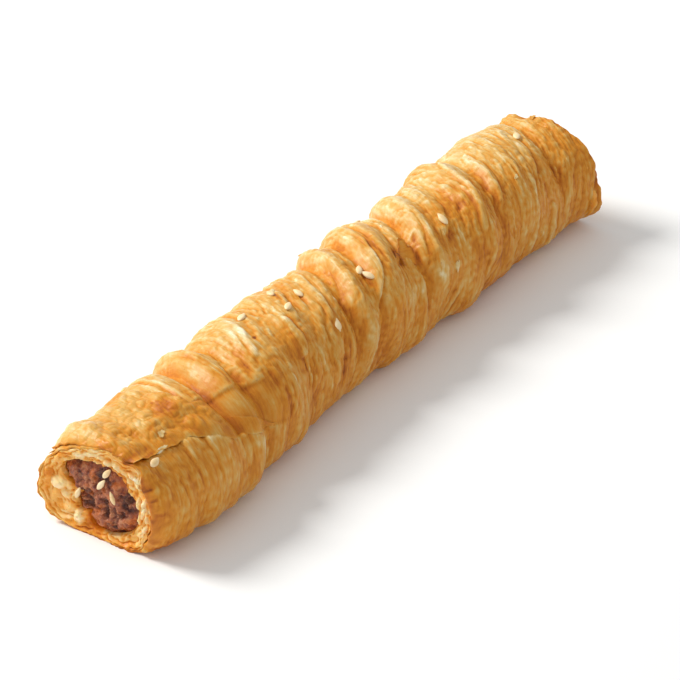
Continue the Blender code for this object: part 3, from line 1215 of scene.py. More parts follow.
@dataclass(frozen=True)
class MinceFinish:
    """Dark cooked mince, oily, with orange fat where it pooled, and painted shade in its pits."""

    name: str
    mottle: bpy.types.NodeTree

    def build(self) -> bpy.types.Material:
        """Make the material."""
        material, tree, mottle = start_material(self.name, self.mottle, 700.0, 2600.0)
        oil = tree.add("Attribute", attribute_name="bake")
        stops = (
            (0.3, srgb(88, 36, 28)),
            (0.42, srgb(142, 70, 44)),
            (0.54, srgb(178, 102, 62)),
            (0.7, srgb(212, 146, 100)),
        )
        colour = tree.ramp(mottle.outputs["Blotch"], stops)
        # Painted shade: the mince's pits are darkened towards near black.
        pit_shade = tree.add("Attribute", attribute_name="crease_shade")
        dark = tree.maths("MULTIPLY", pit_shade.outputs["Fac"], 0.75)
        colour = tree.blend(dark, colour, (*srgb(48, 18, 24), 1.0))
        colour = tree.blend(oil.outputs["Fac"], colour, (*srgb(206, 108, 34), 1.0))
        rough = tree.maths("MULTIPLY_ADD", mottle.outputs["Blotch"], 0.35, 0.08)
        join_shader(tree, colour, rough, mottle.outputs["Height"], 0.8, 0.0003)
        return material


@dataclass(frozen=True)
class SeedFinish:
    """Hulled sesame seed, cream with a darker tip."""

    name: str
    mottle: bpy.types.NodeTree

    def build(self) -> bpy.types.Material:
        """Make the material."""
        material, tree, mottle = start_material(self.name, self.mottle, 380.0, 3000.0)
        tip = tree.add("Attribute", attribute_name="bake")
        stops = ((0.3, srgb(232, 194, 134)), (0.5, srgb(246, 220, 170)), (0.7, srgb(252, 234, 196)))
        colour = tree.ramp(mottle.outputs["Blotch"], stops)
        colour = tree.blend(tip.outputs["Fac"], colour, (*srgb(222, 178, 114), 1.0))
        rough = tree.maths("MULTIPLY_ADD", mottle.outputs["Blotch"], 0.3, 0.3)
        join_shader(tree, colour, rough, mottle.outputs["Height"], 0.4, 0.0001)
        return material


# ------------------------------------------------------------------------- the pastry


@dataclass(frozen=True)
class JoinLine:
    """Where one wrap lies over the next: a slanted line right round the stick.

    Attributes:
        place: Its mean place along the stick, in millimetres.
        sway: How far it moves to each side of that.
        angle: Angle, in degrees, about which it slants the most.
        lift: How far the upper wrap stands over the lower one at lift_angle.
        lift_angle: Angle, in degrees, where it stands proud the most.
    """

    place: float
    sway: float
    angle: float
    lift: float
    lift_angle: float

    def at(self, angle):
        """Place along the stick at each angle."""
        return self.place + self.sway * np.sin(angle - np.radians(self.angle))

    def stand(self, angle):
        """How far the upper wrap stands proud at each angle."""
        turn = degrees_from(angle, self.lift_angle)
        return 0.15 + self.lift * np.exp(-((turn / 42.0) ** 2))


@dataclass
class PastryWraps:
    """The gathered skin, in three wraps that overlap like scales.

    Attributes:
        form: The stick.
        pattern: Its folds.
        columns: Points round each wrap.
        row_step: Distance between rows of points, in millimetres.
        tuck_length: How far each wrap runs on under the one before it.
        fold_radius: Radius of the edge that lies over the next wrap.
        rim_rows: Rows over the round rim of a cut end.
        rim_radius: Radius of that rim where it isn't rolled.
        recess: How far behind the rim the skin closes.
        near_join: The join nearer the -X end.
        far_join: The join nearer the +X end.
    """

    form: StickForm
    pattern: FoldPattern
    columns: int = 260
    row_step: float = 0.23
    tuck_length: float = 5.0
    fold_radius: float = 0.8
    rim_rows: int = 11
    rim_radius: float = 0.28
    recess: float = 3.4
    near_join: JoinLine = JoinLine(68.0, 8.0, 20.0, 1.3, 12.0)
    far_join: JoinLine = JoinLine(128.4, 1.6, 25.0, 1.0, 5.0)

    def build(self, material: bpy.types.Material) -> None:
        """Make the three wraps, from the -X end."""
        plans = (
            ("near_wrap", None, self.near_join),
            ("middle_wrap", self.near_join, self.far_join),
            ("far_wrap", self.far_join, None),
        )
        for name, start, stop in plans:
            wrap = self.make_wrap(name, start, stop)
            finish_piece(wrap, material, "baked_filo", "pastry")

    def make_wrap(self, name: str, start, stop) -> bpy.types.Object:
        """Make one wrap as a closed tube.

        Args:
            name: Its name.
            start: The join at its -X end, or None for the cut end.
            stop: The join at its +X end, or None for the cut end.

        Returns:
            The piece.
        """
        form = self.form
        angle = np.linspace(0.0, 2.0 * np.pi, self.columns, endpoint=False)
        low = self.rim_radii(angle, StickEnd.NEAR) if start is None else start.at(angle) - self.tuck_length
        high = form.length - self.rim_radius if stop is None else stop.at(angle)
        low = np.broadcast_to(low, angle.shape)
        high = np.broadcast_to(high, angle.shape)
        rows = int(np.max(high - low) / self.row_step)
        share = np.linspace(0.0, 1.0, rows)[:, None]
        along = low * (1.0 - share) + high * share
        inset = np.zeros(along.shape)
        if start is None:
            rim_along, rim_inset = self.rim(angle, StickEnd.NEAR)
            along = np.vstack((rim_along[::-1], along))
            inset = np.vstack((rim_inset[::-1], inset))
            torn = self.fray(angle, 1) * (1.0 - form.rolled(angle))
            along = along + torn * np.clip(1.0 - along / 3.5, 0.0, 1.0)
        if stop is None:
            rim_along, rim_inset = self.rim(angle, StickEnd.FAR)
            along = np.vstack((along, form.length - rim_along))
            inset = np.vstack((inset, rim_inset))
            from_end = form.length - along
            along = along - 0.5 * self.fray(angle, 2) * np.clip(1.0 - from_end / 3.5, 0.0, 1.0)
        look = self.pattern.read(along, angle)
        reach = form.plain_reach(along, angle) + look["relief"] - inset
        reach = reach + self.join_relief(along, angle, start, stop)
        layers = [(form.place(along, angle, reach), look["bake"], look["crease_shade"])]
        if stop is not None:
            layers.append(self.rolled_edge(along, angle, reach, look["bake"][-1:]))
        layers.append(self.hidden_wall(low, high, angle, start, stop))
        points = np.concatenate([layer[0] for layer in layers])
        piece, row, column = add_tube(name, len(points), self.columns)
        move_points(piece, points[row, column])
        store_values(piece, "bake", np.concatenate([layer[1] for layer in layers])[row, column])
        store_values(piece, "crease_shade", np.concatenate([layer[2] for layer in layers])[row, column])
        places = points[..., 0] + form.length / 2.0
        store_vectors(piece, "run", self.pattern.run(places, angle)[row, column])
        face_outwards(piece)
        return piece

    def rim_radii(self, angle, end: StickEnd):
        """Radius of the rim's round edge at each angle."""
        rolled = self.form.rolled(angle) if end is StickEnd.NEAR else 0.0 * angle
        return self.rim_radius + (self.form.roll_radius - self.rim_radius) * rolled

    def rim(self, angle, end: StickEnd) -> tuple:
        """Rows over the round rim: their places from the end, and how far in they lie."""
        radius = self.rim_radii(angle, end)
        turn = np.pi * (np.arange(self.rim_rows) + 1.0)[:, None] / self.rim_rows
        from_end = radius * (1.0 - np.sin(turn))
        inset = radius * (1.0 - np.cos(turn))
        from_end = np.vstack((from_end, radius + 0.9, 0.0 * angle + self.recess))
        return from_end, np.vstack((inset, inset[-1:], inset[-1:] + 0.1))

    def fray(self, angle, seed: int):
        """How much further back the torn rim stands, in millimetres."""
        tear = NoiseField(40 + seed)
        turns = angle / (2.0 * np.pi)
        return 0.9 * np.abs(tear.at(turns * 17.0, 0.3)) + 0.6 * np.abs(tear.at(turns * 46.0, 7.3))

    def join_relief(self, along, angle, start, stop):
        """How the joins lift the upper wrap's edge and sink the lower wrap's start."""
        relief = np.zeros(along.shape)
        if stop is not None:
            near = smooth_step(6.0, 0.5, stop.at(angle) - along)
            relief = relief + 0.55 * stop.stand(angle) * near
        if start is not None:
            past = along - start.at(angle)
            relief = relief - (0.2 + 0.6 * start.stand(angle)) * smooth_step(4.0, 0.4, past)
        return relief

    def rolled_edge(self, along, angle, reach, bake) -> tuple:
        """Round a wrap's edge down over the next wrap.

        Args:
            along: Places of the skin's rows.
            angle: Angle of each column.
            reach: The skin's reach.
            bake: Browning of the skin's last row.

        Returns:
            Points, browning with painted shade in it, and crease of the new rows.
        """
        roll = 7
        turn = 0.5 * np.pi * (np.arange(roll) + 1.0)[:, None] / roll
        last = along[-1] + 0.8 * self.fold_radius * np.sin(turn)
        depth = reach[-1] - 1.7 * self.fold_radius * (1.0 - np.cos(turn))
        # Painted shade, deeper as the edge rolls under.
        shade = 0.25 * (1.0 - np.cos(turn)) + 0.0 * angle
        return self.form.place(last, angle, depth), bake + shade, shade

    def hidden_wall(self, low, high, angle, start, stop) -> tuple:
        """The inner wall against the filling: points, browning and crease of two rings."""
        form = self.form
        reach = form.core_reach(angle, form.fit_gap)
        first = low + (self.recess + 0.2 if start is None else 2.0)
        last = high - (self.recess + 0.2 if stop is None else 2.0)
        along = np.stack((last, 0.5 * (first + last), first))
        points = form.core_point(along - form.length / 2.0, angle, reach)
        flat = np.zeros(along.shape)
        return points, flat + 0.5, flat


@dataclass
class TopSheet:
    """The blistered sheet over the top near the -X end, free along its lower front edge.

    Attributes:
        form: The stick.
        pattern: Its folds.
        rows: Rows of points along the stick.
        columns: Points round it.
        thickness: Thickness of the sheet, in millimetres.
        flap_lift: How far its free edge stands off at the -X end.
        flap_length: How far along the stick the edge stands off.
        dip: How far its other edges run in under the skin.
        rim_gap: How far behind the rim it starts.
        corner_inset: How much further back it starts at its back corner.
    """

    form: StickForm
    pattern: FoldPattern
    rows: int = 200
    columns: int = 200
    thickness: float = 0.3
    flap_lift: float = 0.4
    flap_length: float = 9.0
    dip: float = 1.1
    rim_gap: float = 0.25
    corner_inset: float = 1.9

    def build(self, material: bpy.types.Material) -> None:
        """Make the sheet."""
        outline = self.pattern.sheet
        share = np.linspace(0.0, 1.0, self.columns) ** 1.15
        stop = outline.stop(np.radians(50.0 + (outline.back_angle - 50.0) * share))
        start = self.rim_gap + self.corner_inset * share**4
        along = start + (stop - start) * np.linspace(0.0, 1.0, self.rows)[:, None]
        low = outline.edge(along)
        angle = low + (np.radians(outline.back_angle) - low) * share
        look = self.pattern.read_sheet(along, angle)
        above = angle - low
        cover = outline.cover(along, np.maximum(angle, low + 0.05))
        lift = self.flap_lift * smooth_step(self.flap_length, 2.0, along)
        lift = lift * np.exp(-above / 0.14) * (0.8 + 0.3 * np.sin(along * 0.8 + 0.6))
        tuck = 0.5 * smooth_step(1.6, 0.0, along) * smooth_step(0.0, 0.3, above)
        tuck = tuck + 0.3 * smooth_step(13.0, 21.0, along) * np.exp(-above / 0.06)
        relief = look["relief"] * cover - self.dip * (1.0 - cover) + lift * cover - tuck
        reach = self.form.plain_reach(along, angle) + relief
        top = self.form.place(along, angle, reach)
        thin = self.thickness * (0.35 + 0.65 * smooth_step(0.0, 0.1, above) + 0.5 * (along < 12.0))
        under = self.form.place(along + 0.1, angle, reach - thin)
        piece, lower, row, column = add_slab("top_sheet", top, under)
        # Paler right along the free edge: a painted highlight on it.
        bake = (look["bake"] - 0.2 * np.exp(-above / 0.02))[row, column]
        store_values(piece, "bake", np.where(lower, np.maximum(bake, 0.6), bake))
        store_values(piece, "crease_shade", look["crease_shade"][row, column])
        store_vectors(piece, "run", self.pattern.run(along, angle)[row, column])
        face_outwards(piece)
        finish_piece(piece, material, "baked_filo", "pastry")


@dataclass(frozen=True)
class Lump:
    """A puff, crumb or edge of a layer on a cut end.

    Attributes:
        across: Its middle, counted towards the front, in millimetres.
        height: Its middle over the table.
        half_long: Half its length.
        half_wide: Half its width.
        heading: Direction of its length, in degrees up from across.
        tall: How far it stands out.
        bake: Its browning.
    """

    across: float
    height: float
    half_long: float
    half_wide: float
    heading: float
    tall: float
    bake: float


CUT_STOPS = (
    (0.0, srgb(255, 242, 208)),
    (0.2, srgb(250, 218, 158)),
    (0.4, srgb(246, 190, 104)),
    (0.6, srgb(238, 156, 48)),
    (0.82, srgb(214, 118, 24)),
    (1.0, srgb(160, 78, 22)),
)
NEAR_LUMPS = (
    (-11.2, 9.6, 2.4, 1.8, 30.0, 1.4, 0.06), (-9.6, 7.5, 1.6, 1.3, -20.0, 1.0, 0.14),
    (-12.4, 6.4, 1.8, 1.2, 60.0, 0.9, 0.3), (-13.6, 11.4, 1.3, 1.0, 80.0, 0.7, 0.55),
    (-8.7, 9.6, 1.3, 1.0, 80.0, 0.9, 0.22), (-7.2, 7.4, 1.4, 1.0, 70.0, 1.0, 0.28),
    (-6.2, 3.1, 2.2, 1.4, 75.0, 1.4, 0.04), (-8.9, 4.4, 1.8, 1.3, 10.0, 1.0, 0.26),
    (-11.0, 4.2, 1.5, 1.1, -30.0, 0.7, 0.45), (-4.6, 4.6, 1.7, 0.8, 80.0, 0.8, 0.4),
    (-14.0, 8.6, 1.4, 0.9, 85.0, 0.7, 0.45), (-7.4, 1.6, 1.4, 0.7, 0.0, 0.6, 0.45),
    (-8.5, 16.2, 1.7, 0.8, 25.0, 0.8, 0.25), (-5.6, 18.0, 1.6, 0.8, 20.0, 0.9, 0.12),
    (-3.2, 19.2, 1.7, 0.8, 15.0, 1.0, 0.08), (-0.8, 19.3, 1.5, 0.8, 0.0, 0.9, 0.12),
    (1.2, 18.6, 1.2, 0.9, -10.0, 1.0, 0.05), (3.4, 18.4, 1.4, 0.8, -30.0, 1.0, 0.05),
    (-1.6, 17.7, 1.4, 0.6, 10.0, 0.8, 0.2), (-4.2, 17.2, 1.6, 0.5, 20.0, 0.7, 0.3),
    (-10.4, 15.4, 1.6, 0.7, 30.0, 0.6, 0.4), (5.4, 17.7, 1.1, 0.7, -40.0, 0.9, 0.16),
    (7.9, 17.4, 2.1, 0.55, -20.0, 1.2, 0.02), (8.8, 16.1, 1.5, 0.5, -30.0, 1.0, 0.06),
    (6.6, 16.2, 1.0, 0.6, -50.0, 0.9, 0.08), (7.2, 14.9, 0.9, 0.6, 0.0, 0.8, 0.16),
    (6.9, 13.0, 1.1, 0.5, 45.0, 0.9, 0.1), (8.9, 11.8, 1.9, 0.5, 78.0, 1.1, 0.08),
    (10.3, 10.2, 2.2, 0.5, 72.0, 1.1, 0.06), (9.2, 8.2, 1.6, 0.45, 88.0, 1.0, 0.08),
    (10.6, 6.3, 1.5, 0.6, 60.0, 0.9, 0.12), (9.4, 4.6, 1.3, 0.7, 20.0, 0.9, 0.12),
    (11.0, 3.4, 1.0, 0.6, 0.0, 0.7, 0.18), (7.4, 3.2, 1.3, 0.6, -40.0, 0.7, 0.3),
    (12.3, 7.6, 1.8, 0.6, 70.0, 0.6, 0.4), (11.8, 12.6, 1.4, 0.6, 80.0, 0.6, 0.45),
    (-3.6, 3.4, 2.6, 1.1, 72.0, 0.5, 0.62), (-2.0, 1.8, 1.8, 0.9, 150.0, 0.5, 0.58),
    (10.6, 12.6, 1.6, 0.6, 60.0, 1.2, 0.0), (11.4, 9.2, 1.2, 0.5, 100.0, 1.1, 0.04),
)
FAR_LUMPS = (
    (10.8, 9.2, 2.2, 1.6, 60.0, 1.3, 0.08), (9.4, 6.4, 1.6, 1.2, 10.0, 1.0, 0.16),
    (-11.6, 10.4, 2.1, 0.6, 80.0, 1.1, 0.06), (-10.4, 7.6, 1.8, 0.6, 70.0, 1.0, 0.1),
    (-12.2, 5.6, 1.5, 0.9, 40.0, 0.8, 0.3), (-8.6, 15.2, 1.7, 0.8, 30.0, 0.9, 0.15),
    (-4.8, 18.0, 1.8, 0.8, 15.0, 1.0, 0.08), (-1.2, 18.8, 1.6, 0.9, 0.0, 1.0, 0.05),
    (2.6, 18.4, 1.7, 0.8, -15.0, 1.0, 0.12), (6.0, 17.2, 1.8, 0.8, -30.0, 1.1, 0.06),
    (8.8, 14.8, 1.6, 0.8, -50.0, 1.0, 0.1), (11.6, 12.4, 1.2, 0.8, 80.0, 0.7, 0.4),
    (6.2, 3.0, 2.0, 1.2, 20.0, 1.2, 0.06), (-6.4, 2.6, 1.8, 1.1, -10.0, 1.1, 0.1),
    (12.2, 6.0, 1.4, 0.9, 50.0, 0.7, 0.35),
)
NEAR_LOBES = (Lobe(181.0, 4.3, 13.0), Lobe(204.0, 1.6, 12.0), Lobe(231.0, 2.4, 11.0),
              Lobe(36.0, 0.9, 16.0))
FAR_LOBES = (Lobe(2.0, 1.6, 14.0), Lobe(240.0, 1.9, 14.0), Lobe(152.0, 1.4, 20.0),
             Lobe(306.0, 1.6, 12.0))


@dataclass
class CutEnd:
    """The pastry seen at a cut end: thin layers, puffs and crumbs round the filling.

    Attributes:
        form: The stick.
        pattern: Its folds.
        name: Name of the piece.
        end: Which end it is.
        lumps: Puffs and edges given one by one, as the values of a Lump.
        lobes: Puffs that push in over the filling.
        seed: Number that fixes the crumbs.
        columns: Points round the face.
        rows: Rows of points from its rim to the filling.
        depth: How far behind the rim the face lies, in millimetres.
        rim_depth: The same just inside the rim.
        thickness: Thickness of the piece.
        crumbs: How many small crumbs lie on it.
        layer_pitch: Distance between its layers of filo.
        layer_height: How far each layer stands out.
        ground: Browning that every spot has.
    """

    form: StickForm
    pattern: FoldPattern
    name: str
    end: StickEnd
    lumps: tuple
    lobes: tuple
    seed: int
    columns: int = 340
    rows: int = 50
    depth: float = 1.6
    rim_depth: float = 0.75
    thickness: float = 1.2
    crumbs: int = 90
    layer_pitch: float = 1.25
    layer_height: float = 0.45
    ground: float = 0.56

    def build(self, material: bpy.types.Material) -> None:
        """Make the end."""
        form = self.form
        angle = np.linspace(0.0, 2.0 * np.pi, self.columns, endpoint=False)
        along = 0.6 if self.end is StickEnd.NEAR else form.length - 0.6
        along = np.full((1, self.columns), along)
        skin = form.plain_reach(along, angle) + self.pattern.read(along, angle)["relief"]
        rolled = form.rolled(angle) if self.end is StickEnd.NEAR else 0.0 * angle
        outer = form.place(along, angle, skin - 0.62 - 1.7 * form.roll_radius * rolled)[0]
        back = form.ragged(angle, self.end.value)
        inner = form.core_point(0.0, angle, form.opening(angle, self.lobes))
        share = np.linspace(0.0, 1.0, self.rows)[:, None]
        across = -(outer[:, 1] * (1.0 - share) + inner[:, 1] * share)
        height = outer[:, 2] * (1.0 - share) + inner[:, 2] * share
        inward = share * np.hypot(outer[:, 1] - inner[:, 1], outer[:, 2] - inner[:, 2])
        look = self.face(across, height, inward, angle)
        rim_depth = self.rim_depth + 0.5 * rolled
        deep = rim_depth + (self.depth - rim_depth) * smooth_step(0.3, 2.4, inward)
        deep = deep - look["relief"] + 0.9 * smooth_step(0.85, 1.0, share) ** 2
        deep = np.maximum(deep, 0.12) + back
        x = self.end.value * (form.length / 2.0 - deep)
        face = np.stack((x, -across, np.maximum(height, 0.0)), axis=-1)
        hidden_x = self.end.value * (form.length / 2.0 - self.depth - back - self.thickness)
        hidden = np.stack((inner, outer))
        hidden[..., 0] = hidden_x
        points = np.concatenate((face, hidden))
        piece, row, column = add_tube(self.name, len(points), self.columns)
        move_points(piece, points[row, column])
        flat = np.zeros((2, self.columns))
        store_values(piece, "bake", np.vstack((look["bake"], flat + 0.6))[row, column])
        store_values(piece, "crease_shade", np.vstack((look["crease_shade"], flat))[row, column])
        store_vectors(piece, "run", (points * 0.6)[row, column])
        face_outwards(piece)
        finish_piece(piece, material, "baked_filo", "pastry")

    def face(self, across, height, inward, angle) -> dict:
        """Relief, browning and creases of the end's face, with painted shade where it dips in by the
        filling and in its low spots.

        Args:
            across: Places counted towards the front.
            height: Heights over the table.
            inward: Distances in from the rim.
            angle: Not used.

        Returns:
            Arrays "relief", "bake" and "crease".
        """
        noise = NoiseField(self.seed)
        wobble = 0.7 * noise.at(across / 3.0, height / 3.0) + 0.3 * noise.at(across / 1.1, height / 1.1)
        layer = np.abs(np.cos(np.pi * (inward / self.layer_pitch + wobble))) ** 0.7
        grain = noise.at(across / 0.6 + 40.0, height / 0.6)
        fold = noise.billow(across / 1.3 + 20.0, height / 1.3) - 0.4
        relief = self.layer_height * layer + 0.14 * grain + 0.25 * fold
        bake = self.ground - 0.14 * layer + 0.2 * noise.at(across / 4.0 + 9.0, height / 4.0)
        # Painted shade, where the face dips in by the filling.
        bake = bake + 0.14 * smooth_step(2.0, 4.5, inward)
        bake = bake + 0.2 * smooth_step(2.2, 0.4, height)
        draw = np.random.default_rng(self.seed)
        spans = ((-15.0, 15.0), (0.5, 22.0), (0.4, 1.1), (0.3, 0.6), (0.0, 180.0), (0.5, 0.95), (0.25, 0.5))
        spread = [[draw.uniform(*span) for span in spans] for _ in range(self.crumbs)]
        for lump in (Lump(*row) for row in (*spread, *self.lumps)):
            turned = np.radians(lump.heading)
            ahead = (across - lump.across) * np.cos(turned) + (height - lump.height) * np.sin(turned)
            aside = (height - lump.height) * np.cos(turned) - (across - lump.across) * np.sin(turned)
            far = (ahead / lump.half_long) ** 2 + (aside / lump.half_wide) ** 2 + 0.25 * wobble
            share = np.clip(1.0 - far, 0.0, 1.0) ** 0.6
            crinkle = (0.28 * grain + 0.5 * fold + 0.2 * wobble) * share
            relief = np.maximum(relief, lump.tall * share + crinkle)
            bake = bake + (lump.bake + 0.14 - bake) * smooth_step(0.0, 0.9, share)
        # Painted shade in the low spots of the face.
        return {"relief": relief, "bake": bake, "crease_shade": smooth_step(0.35, 0.0, relief)}


# ------------------------------------------------------------------------ the filling


@dataclass
class MincedFilling:
    """The core of cooked mince, one closed body with a rough face at each end.

    Attributes:
        form: The stick.
        near_lobes: Puffs over its -X face.
        far_lobes: Puffs over its +X face.
        segments: Points round it.
        cap_rows: Rows of points on each face.
        face_depth: How far behind the rim the faces lie, in millimetres.
        edge_depth: The same under the filo round them.
        end_depth: The least of either.
        noise_shift: How far apart the two faces read their noise, so that they differ.
    """

    form: StickForm
    near_lobes: tuple
    far_lobes: tuple
    segments: int = 220
    cap_rows: int = 60
    face_depth: float = 1.35
    edge_depth: float = 2.9
    end_depth: float = 0.78
    noise_shift: float = 40.0

    def build(self, material: bpy.types.Material) -> None:
        """Make the filling."""
        form = self.form
        rings = 2 * self.cap_rows + 4
        deselect_all()
        bpy.ops.mesh.primitive_uv_sphere_add(segments=self.segments, ring_count=rings, radius=1.0)
        piece = name_piece(bpy.context.active_object, "minced_core")
        points = read_points(piece)
        row = np.rint(np.arccos(np.clip(-points[:, 2], -1.0, 1.0)) / np.pi * rings).astype(int)
        angle = np.arctan2(points[:, 1], points[:, 0])
        near = row < rings / 2
        step = np.minimum(row, rings - row)
        size = np.clip(step / self.cap_rows, 0.0, 1.0)
        reach = form.core_reach(angle) * size
        side = np.where(near, -1.0, 1.0)
        inside = np.clip((step - self.cap_rows) / 2.0, 0.0, 1.0)
        shaped = form.core_point(0.0, angle, reach)
        y = shaped[:, 1] + self.noise_shift * near
        z = shaped[:, 2]
        near_opening = form.opening(angle, self.near_lobes)
        opening = np.where(near, near_opening, form.opening(angle, self.far_lobes))
        shown = smooth_step(0.3, -2.4, reach - opening)
        chunk = NoiseField(31).at(y / 3.2, z / 3.2)
        lump = NoiseField(32).billow(y / 2.1, z / 2.1)
        crumb = NoiseField(35).at(y / 1.1, z / 1.1)
        grain = NoiseField(33).at(y / 0.45, z / 0.45)
        rough = 1.1 * chunk - 1.0 * lump + 0.5 * crumb + 0.25 * grain + 0.4
        deep = self.edge_depth + (self.face_depth - self.edge_depth) * shown - rough * (0.25 + 0.75 * shown)
        deep = np.maximum(deep, self.end_depth + 0.1 * np.abs(grain))
        shaped[:, 0] = side * (form.length / 2.0 - deep - 0.5 * inside * form.length / 3.0)
        move_points(piece, shaped)
        pooled = smooth_step(0.15, 0.6, NoiseField(34).at(y / 2.6, z / 2.6) + 0.3 * crumb)
        low = smooth_step(8.0, 3.0, z) * smooth_step(-2.0, 3.0, shaped[:, 1])
        store_values(piece, "bake", np.clip(0.6 * pooled + 0.75 * low, 0.0, 0.9))
        # Painted shade in the pits, where the face lies deepest.
        store_values(piece, "crease_shade", smooth_step(0.35, -0.55, rough))
        face_outwards(piece)
        finish_piece(piece, material, "minced_filling", "filling")


# -------------------------------------------------------------------------- the seeds


def skin_frame(form: StickForm, pattern: FoldPattern, place: float, angle: float, heading: float) -> tuple:
    """Find how something lies on the skin.

    Args:
        form: The stick.
        pattern: Its folds.
        place: Place along the stick.
        angle: Angle round it, in degrees.
        heading: Heading on the skin, in degrees from along the stick.

    Returns:
        The rotation whose axes are ahead, aside and out of the skin, and the spot.
    """
    around = np.radians(angle) + np.array([-0.06, 0.0, 0.06])
    along = np.array([place - 1.0, place, place + 1.0])[:, None] + np.zeros(3)
    relief = pattern.read(along, around)["relief"]
    covered = pattern.sheet.cover(along, around) > 0.5
    relief = np.where(covered, pattern.read_sheet(along, around + 0.0 * along)["relief"], relief)
    reach = form.plain_reach(along, around) + np.maximum(relief, relief.mean())
    grid = form.place(along, around, reach)
    length_way = Vector(grid[2, 1] - grid[0, 1]).normalized()
    round_way = Vector(grid[1, 2] - grid[1, 0]).normalized()
    normal = length_way.cross(round_way).normalized()
    if normal.dot(Vector(grid[1, 1]) - Vector((grid[1, 1][0], form.axis_offset, form.axis_height))) < 0.0:
        normal = -normal
    turned = np.radians(heading)
    forward = length_way * math.cos(turned) + round_way * math.sin(turned)
    forward = (forward - normal * forward.dot(normal)).normalized()
    return Matrix((forward, normal.cross(forward), normal)).transposed(), Vector(grid[1, 1])


@dataclass(frozen=True)
class SeedSpot:
    """Where one sesame seed lies on the skin: place, angle and heading in degrees."""

    place: float
    angle: float
    heading: float


@dataclass
class SesameSeeds:
    """Sesame seeds on the skin and on the near end of the filling.

    Attributes:
        form: The stick.
        pattern: Its folds.
        long: Length of a seed, in millimetres.
        wide: Its width.
        thick: Its thickness.
        sunk: How far a seed's middle stands over the skin.
        face_depth: How far behind the rim the seeds on the filling lie.
        spots: Where the seeds lie on the skin.
        face_spots: The others on the filling: across, height, and heading in degrees.
    """

    form: StickForm
    pattern: FoldPattern
    long: float = 3.4
    wide: float = 1.65
    thick: float = 0.95
    sunk: float = 0.22
    face_depth: float = 0.9
    spots: tuple = (
        # One by the free edge of the top sheet.
        SeedSpot(5, 45, 10),
        # Four on the crest and one low on the front, between the puff and the deepest fold.
        SeedSpot(57, 110, 20),
        SeedSpot(68, 112, 60),
        SeedSpot(65, 85, 25),
        SeedSpot(72, 95, 75),
        SeedSpot(71, 45, 60),
        # A pair on the fold past it, and two far apart towards the end.
        SeedSpot(88, 75, 35),
        SeedSpot(88, 65, 100),
        SeedSpot(116, 65, 75),
        SeedSpot(154, 90, 40),
        # Out of sight, at the back.
        SeedSpot(30, 160, 40),
        SeedSpot(81, 170, 100),
        SeedSpot(111, 150, 10),
        SeedSpot(139, 165, 150),
    )
    face_spots: tuple = (
        (-6.0, 9.3, 68.0), (0.0, 13.4, 56.0), (1.5, 16.6, 54.0), (2.8, 11.2, 110.0)
    )

    def build(self, material: bpy.types.Material) -> None:
        """Make all the seeds as one piece."""
        seeds = [self.on_skin(number, spot) for number, spot in enumerate(self.spots)]
        for number, (across, height, heading) in enumerate(self.face_spots):
            seeds.append(self.on_filling(100 + number, across, height, heading))
        finish_piece(join_pieces("sesame_seeds", seeds), material, "sesame")

    def make_seed(self, number: int, turn: Matrix, centre: Vector, slim: float = 1.0) -> bpy.types.Object:
        """Make one teardrop seed where it lies.

        Args:
            number: Which seed, which sets its small differences.
            turn: Rotation from the seed's own axes, X along it and Z through it.
            centre: Its centre, in millimetres.
            slim: Width against the usual one.

        Returns:
            The seed.
        """
        draw = np.random.default_rng(500 + number)
        deselect_all()
        bpy.ops.mesh.primitive_uv_sphere_add(segments=20, ring_count=14, radius=1.0)
        seed = bpy.context.active_object
        points = read_points(seed)[:, [2, 0, 1]]
        along = points[:, 0]
        narrow = 1.0 - 0.38 * smooth_step(-0.2, 1.0, along) - 0.12 * along**2
        size = draw.uniform(0.92, 1.06)
        shaped = np.empty(points.shape)
        shaped[:, 0] = along * 0.5 * self.long * size
        shaped[:, 1] = points[:, 1] * 0.5 * self.wide * slim * size * narrow * draw.uniform(0.92, 1.05)
        shaped[:, 2] = points[:, 2] * 0.5 * self.thick * narrow
        shaped[:, 2] += 0.1 * np.abs(points[:, 1]) * np.sign(points[:, 2]) * 0.5
        turned = shaped @ np.array(turn.to_3x3()).T + np.array(centre)
        move_points(seed, turned)
        store_values(seed, "bake", 0.8 * smooth_step(0.72, 1.0, along))
        face_outwards(seed)
        return seed

    def on_skin(self, number: int, spot: SeedSpot) -> bpy.types.Object:
        """Lay one seed on the skin."""
        turn, spot_on_skin = skin_frame(self.form, self.pattern, spot.place, spot.angle, spot.heading)
        normal = turn.col[2]
        return self.make_seed(number, turn, spot_on_skin + normal * self.sunk)

    def on_filling(self, number: int, across: float, height: float, heading: float) -> bpy.types.Object:
        """Stick one seed to the filling's near face; across is counted towards the front."""
        normal = Vector((-1.0, 0.0, 0.0))
        turned = np.radians(heading)
        forward = Vector((0.0, -math.cos(turned), math.sin(turned)))
        turn = Matrix((forward, normal.cross(forward), normal)).transposed()
        x = -self.form.length / 2.0 + self.face_depth
        return self.make_seed(number, turn, Vector((x, -across, height)), 0.8)


@dataclass(frozen=True)
class Flake:
    """A loose or torn bit of filo, lying on the skin or standing from it.

    Attributes:
        place: Place along the stick.
        angle: Angle round it, in degrees.
        heading: Heading on the skin, in degrees.
        long: Its length.
        wide: Its width.
        tilt: How far its front end stands up, in degrees.
        bake: Its browning.
    """

    place: float
    angle: float
    heading: float
    long: float
    wide: float
    tilt: float
    bake: float


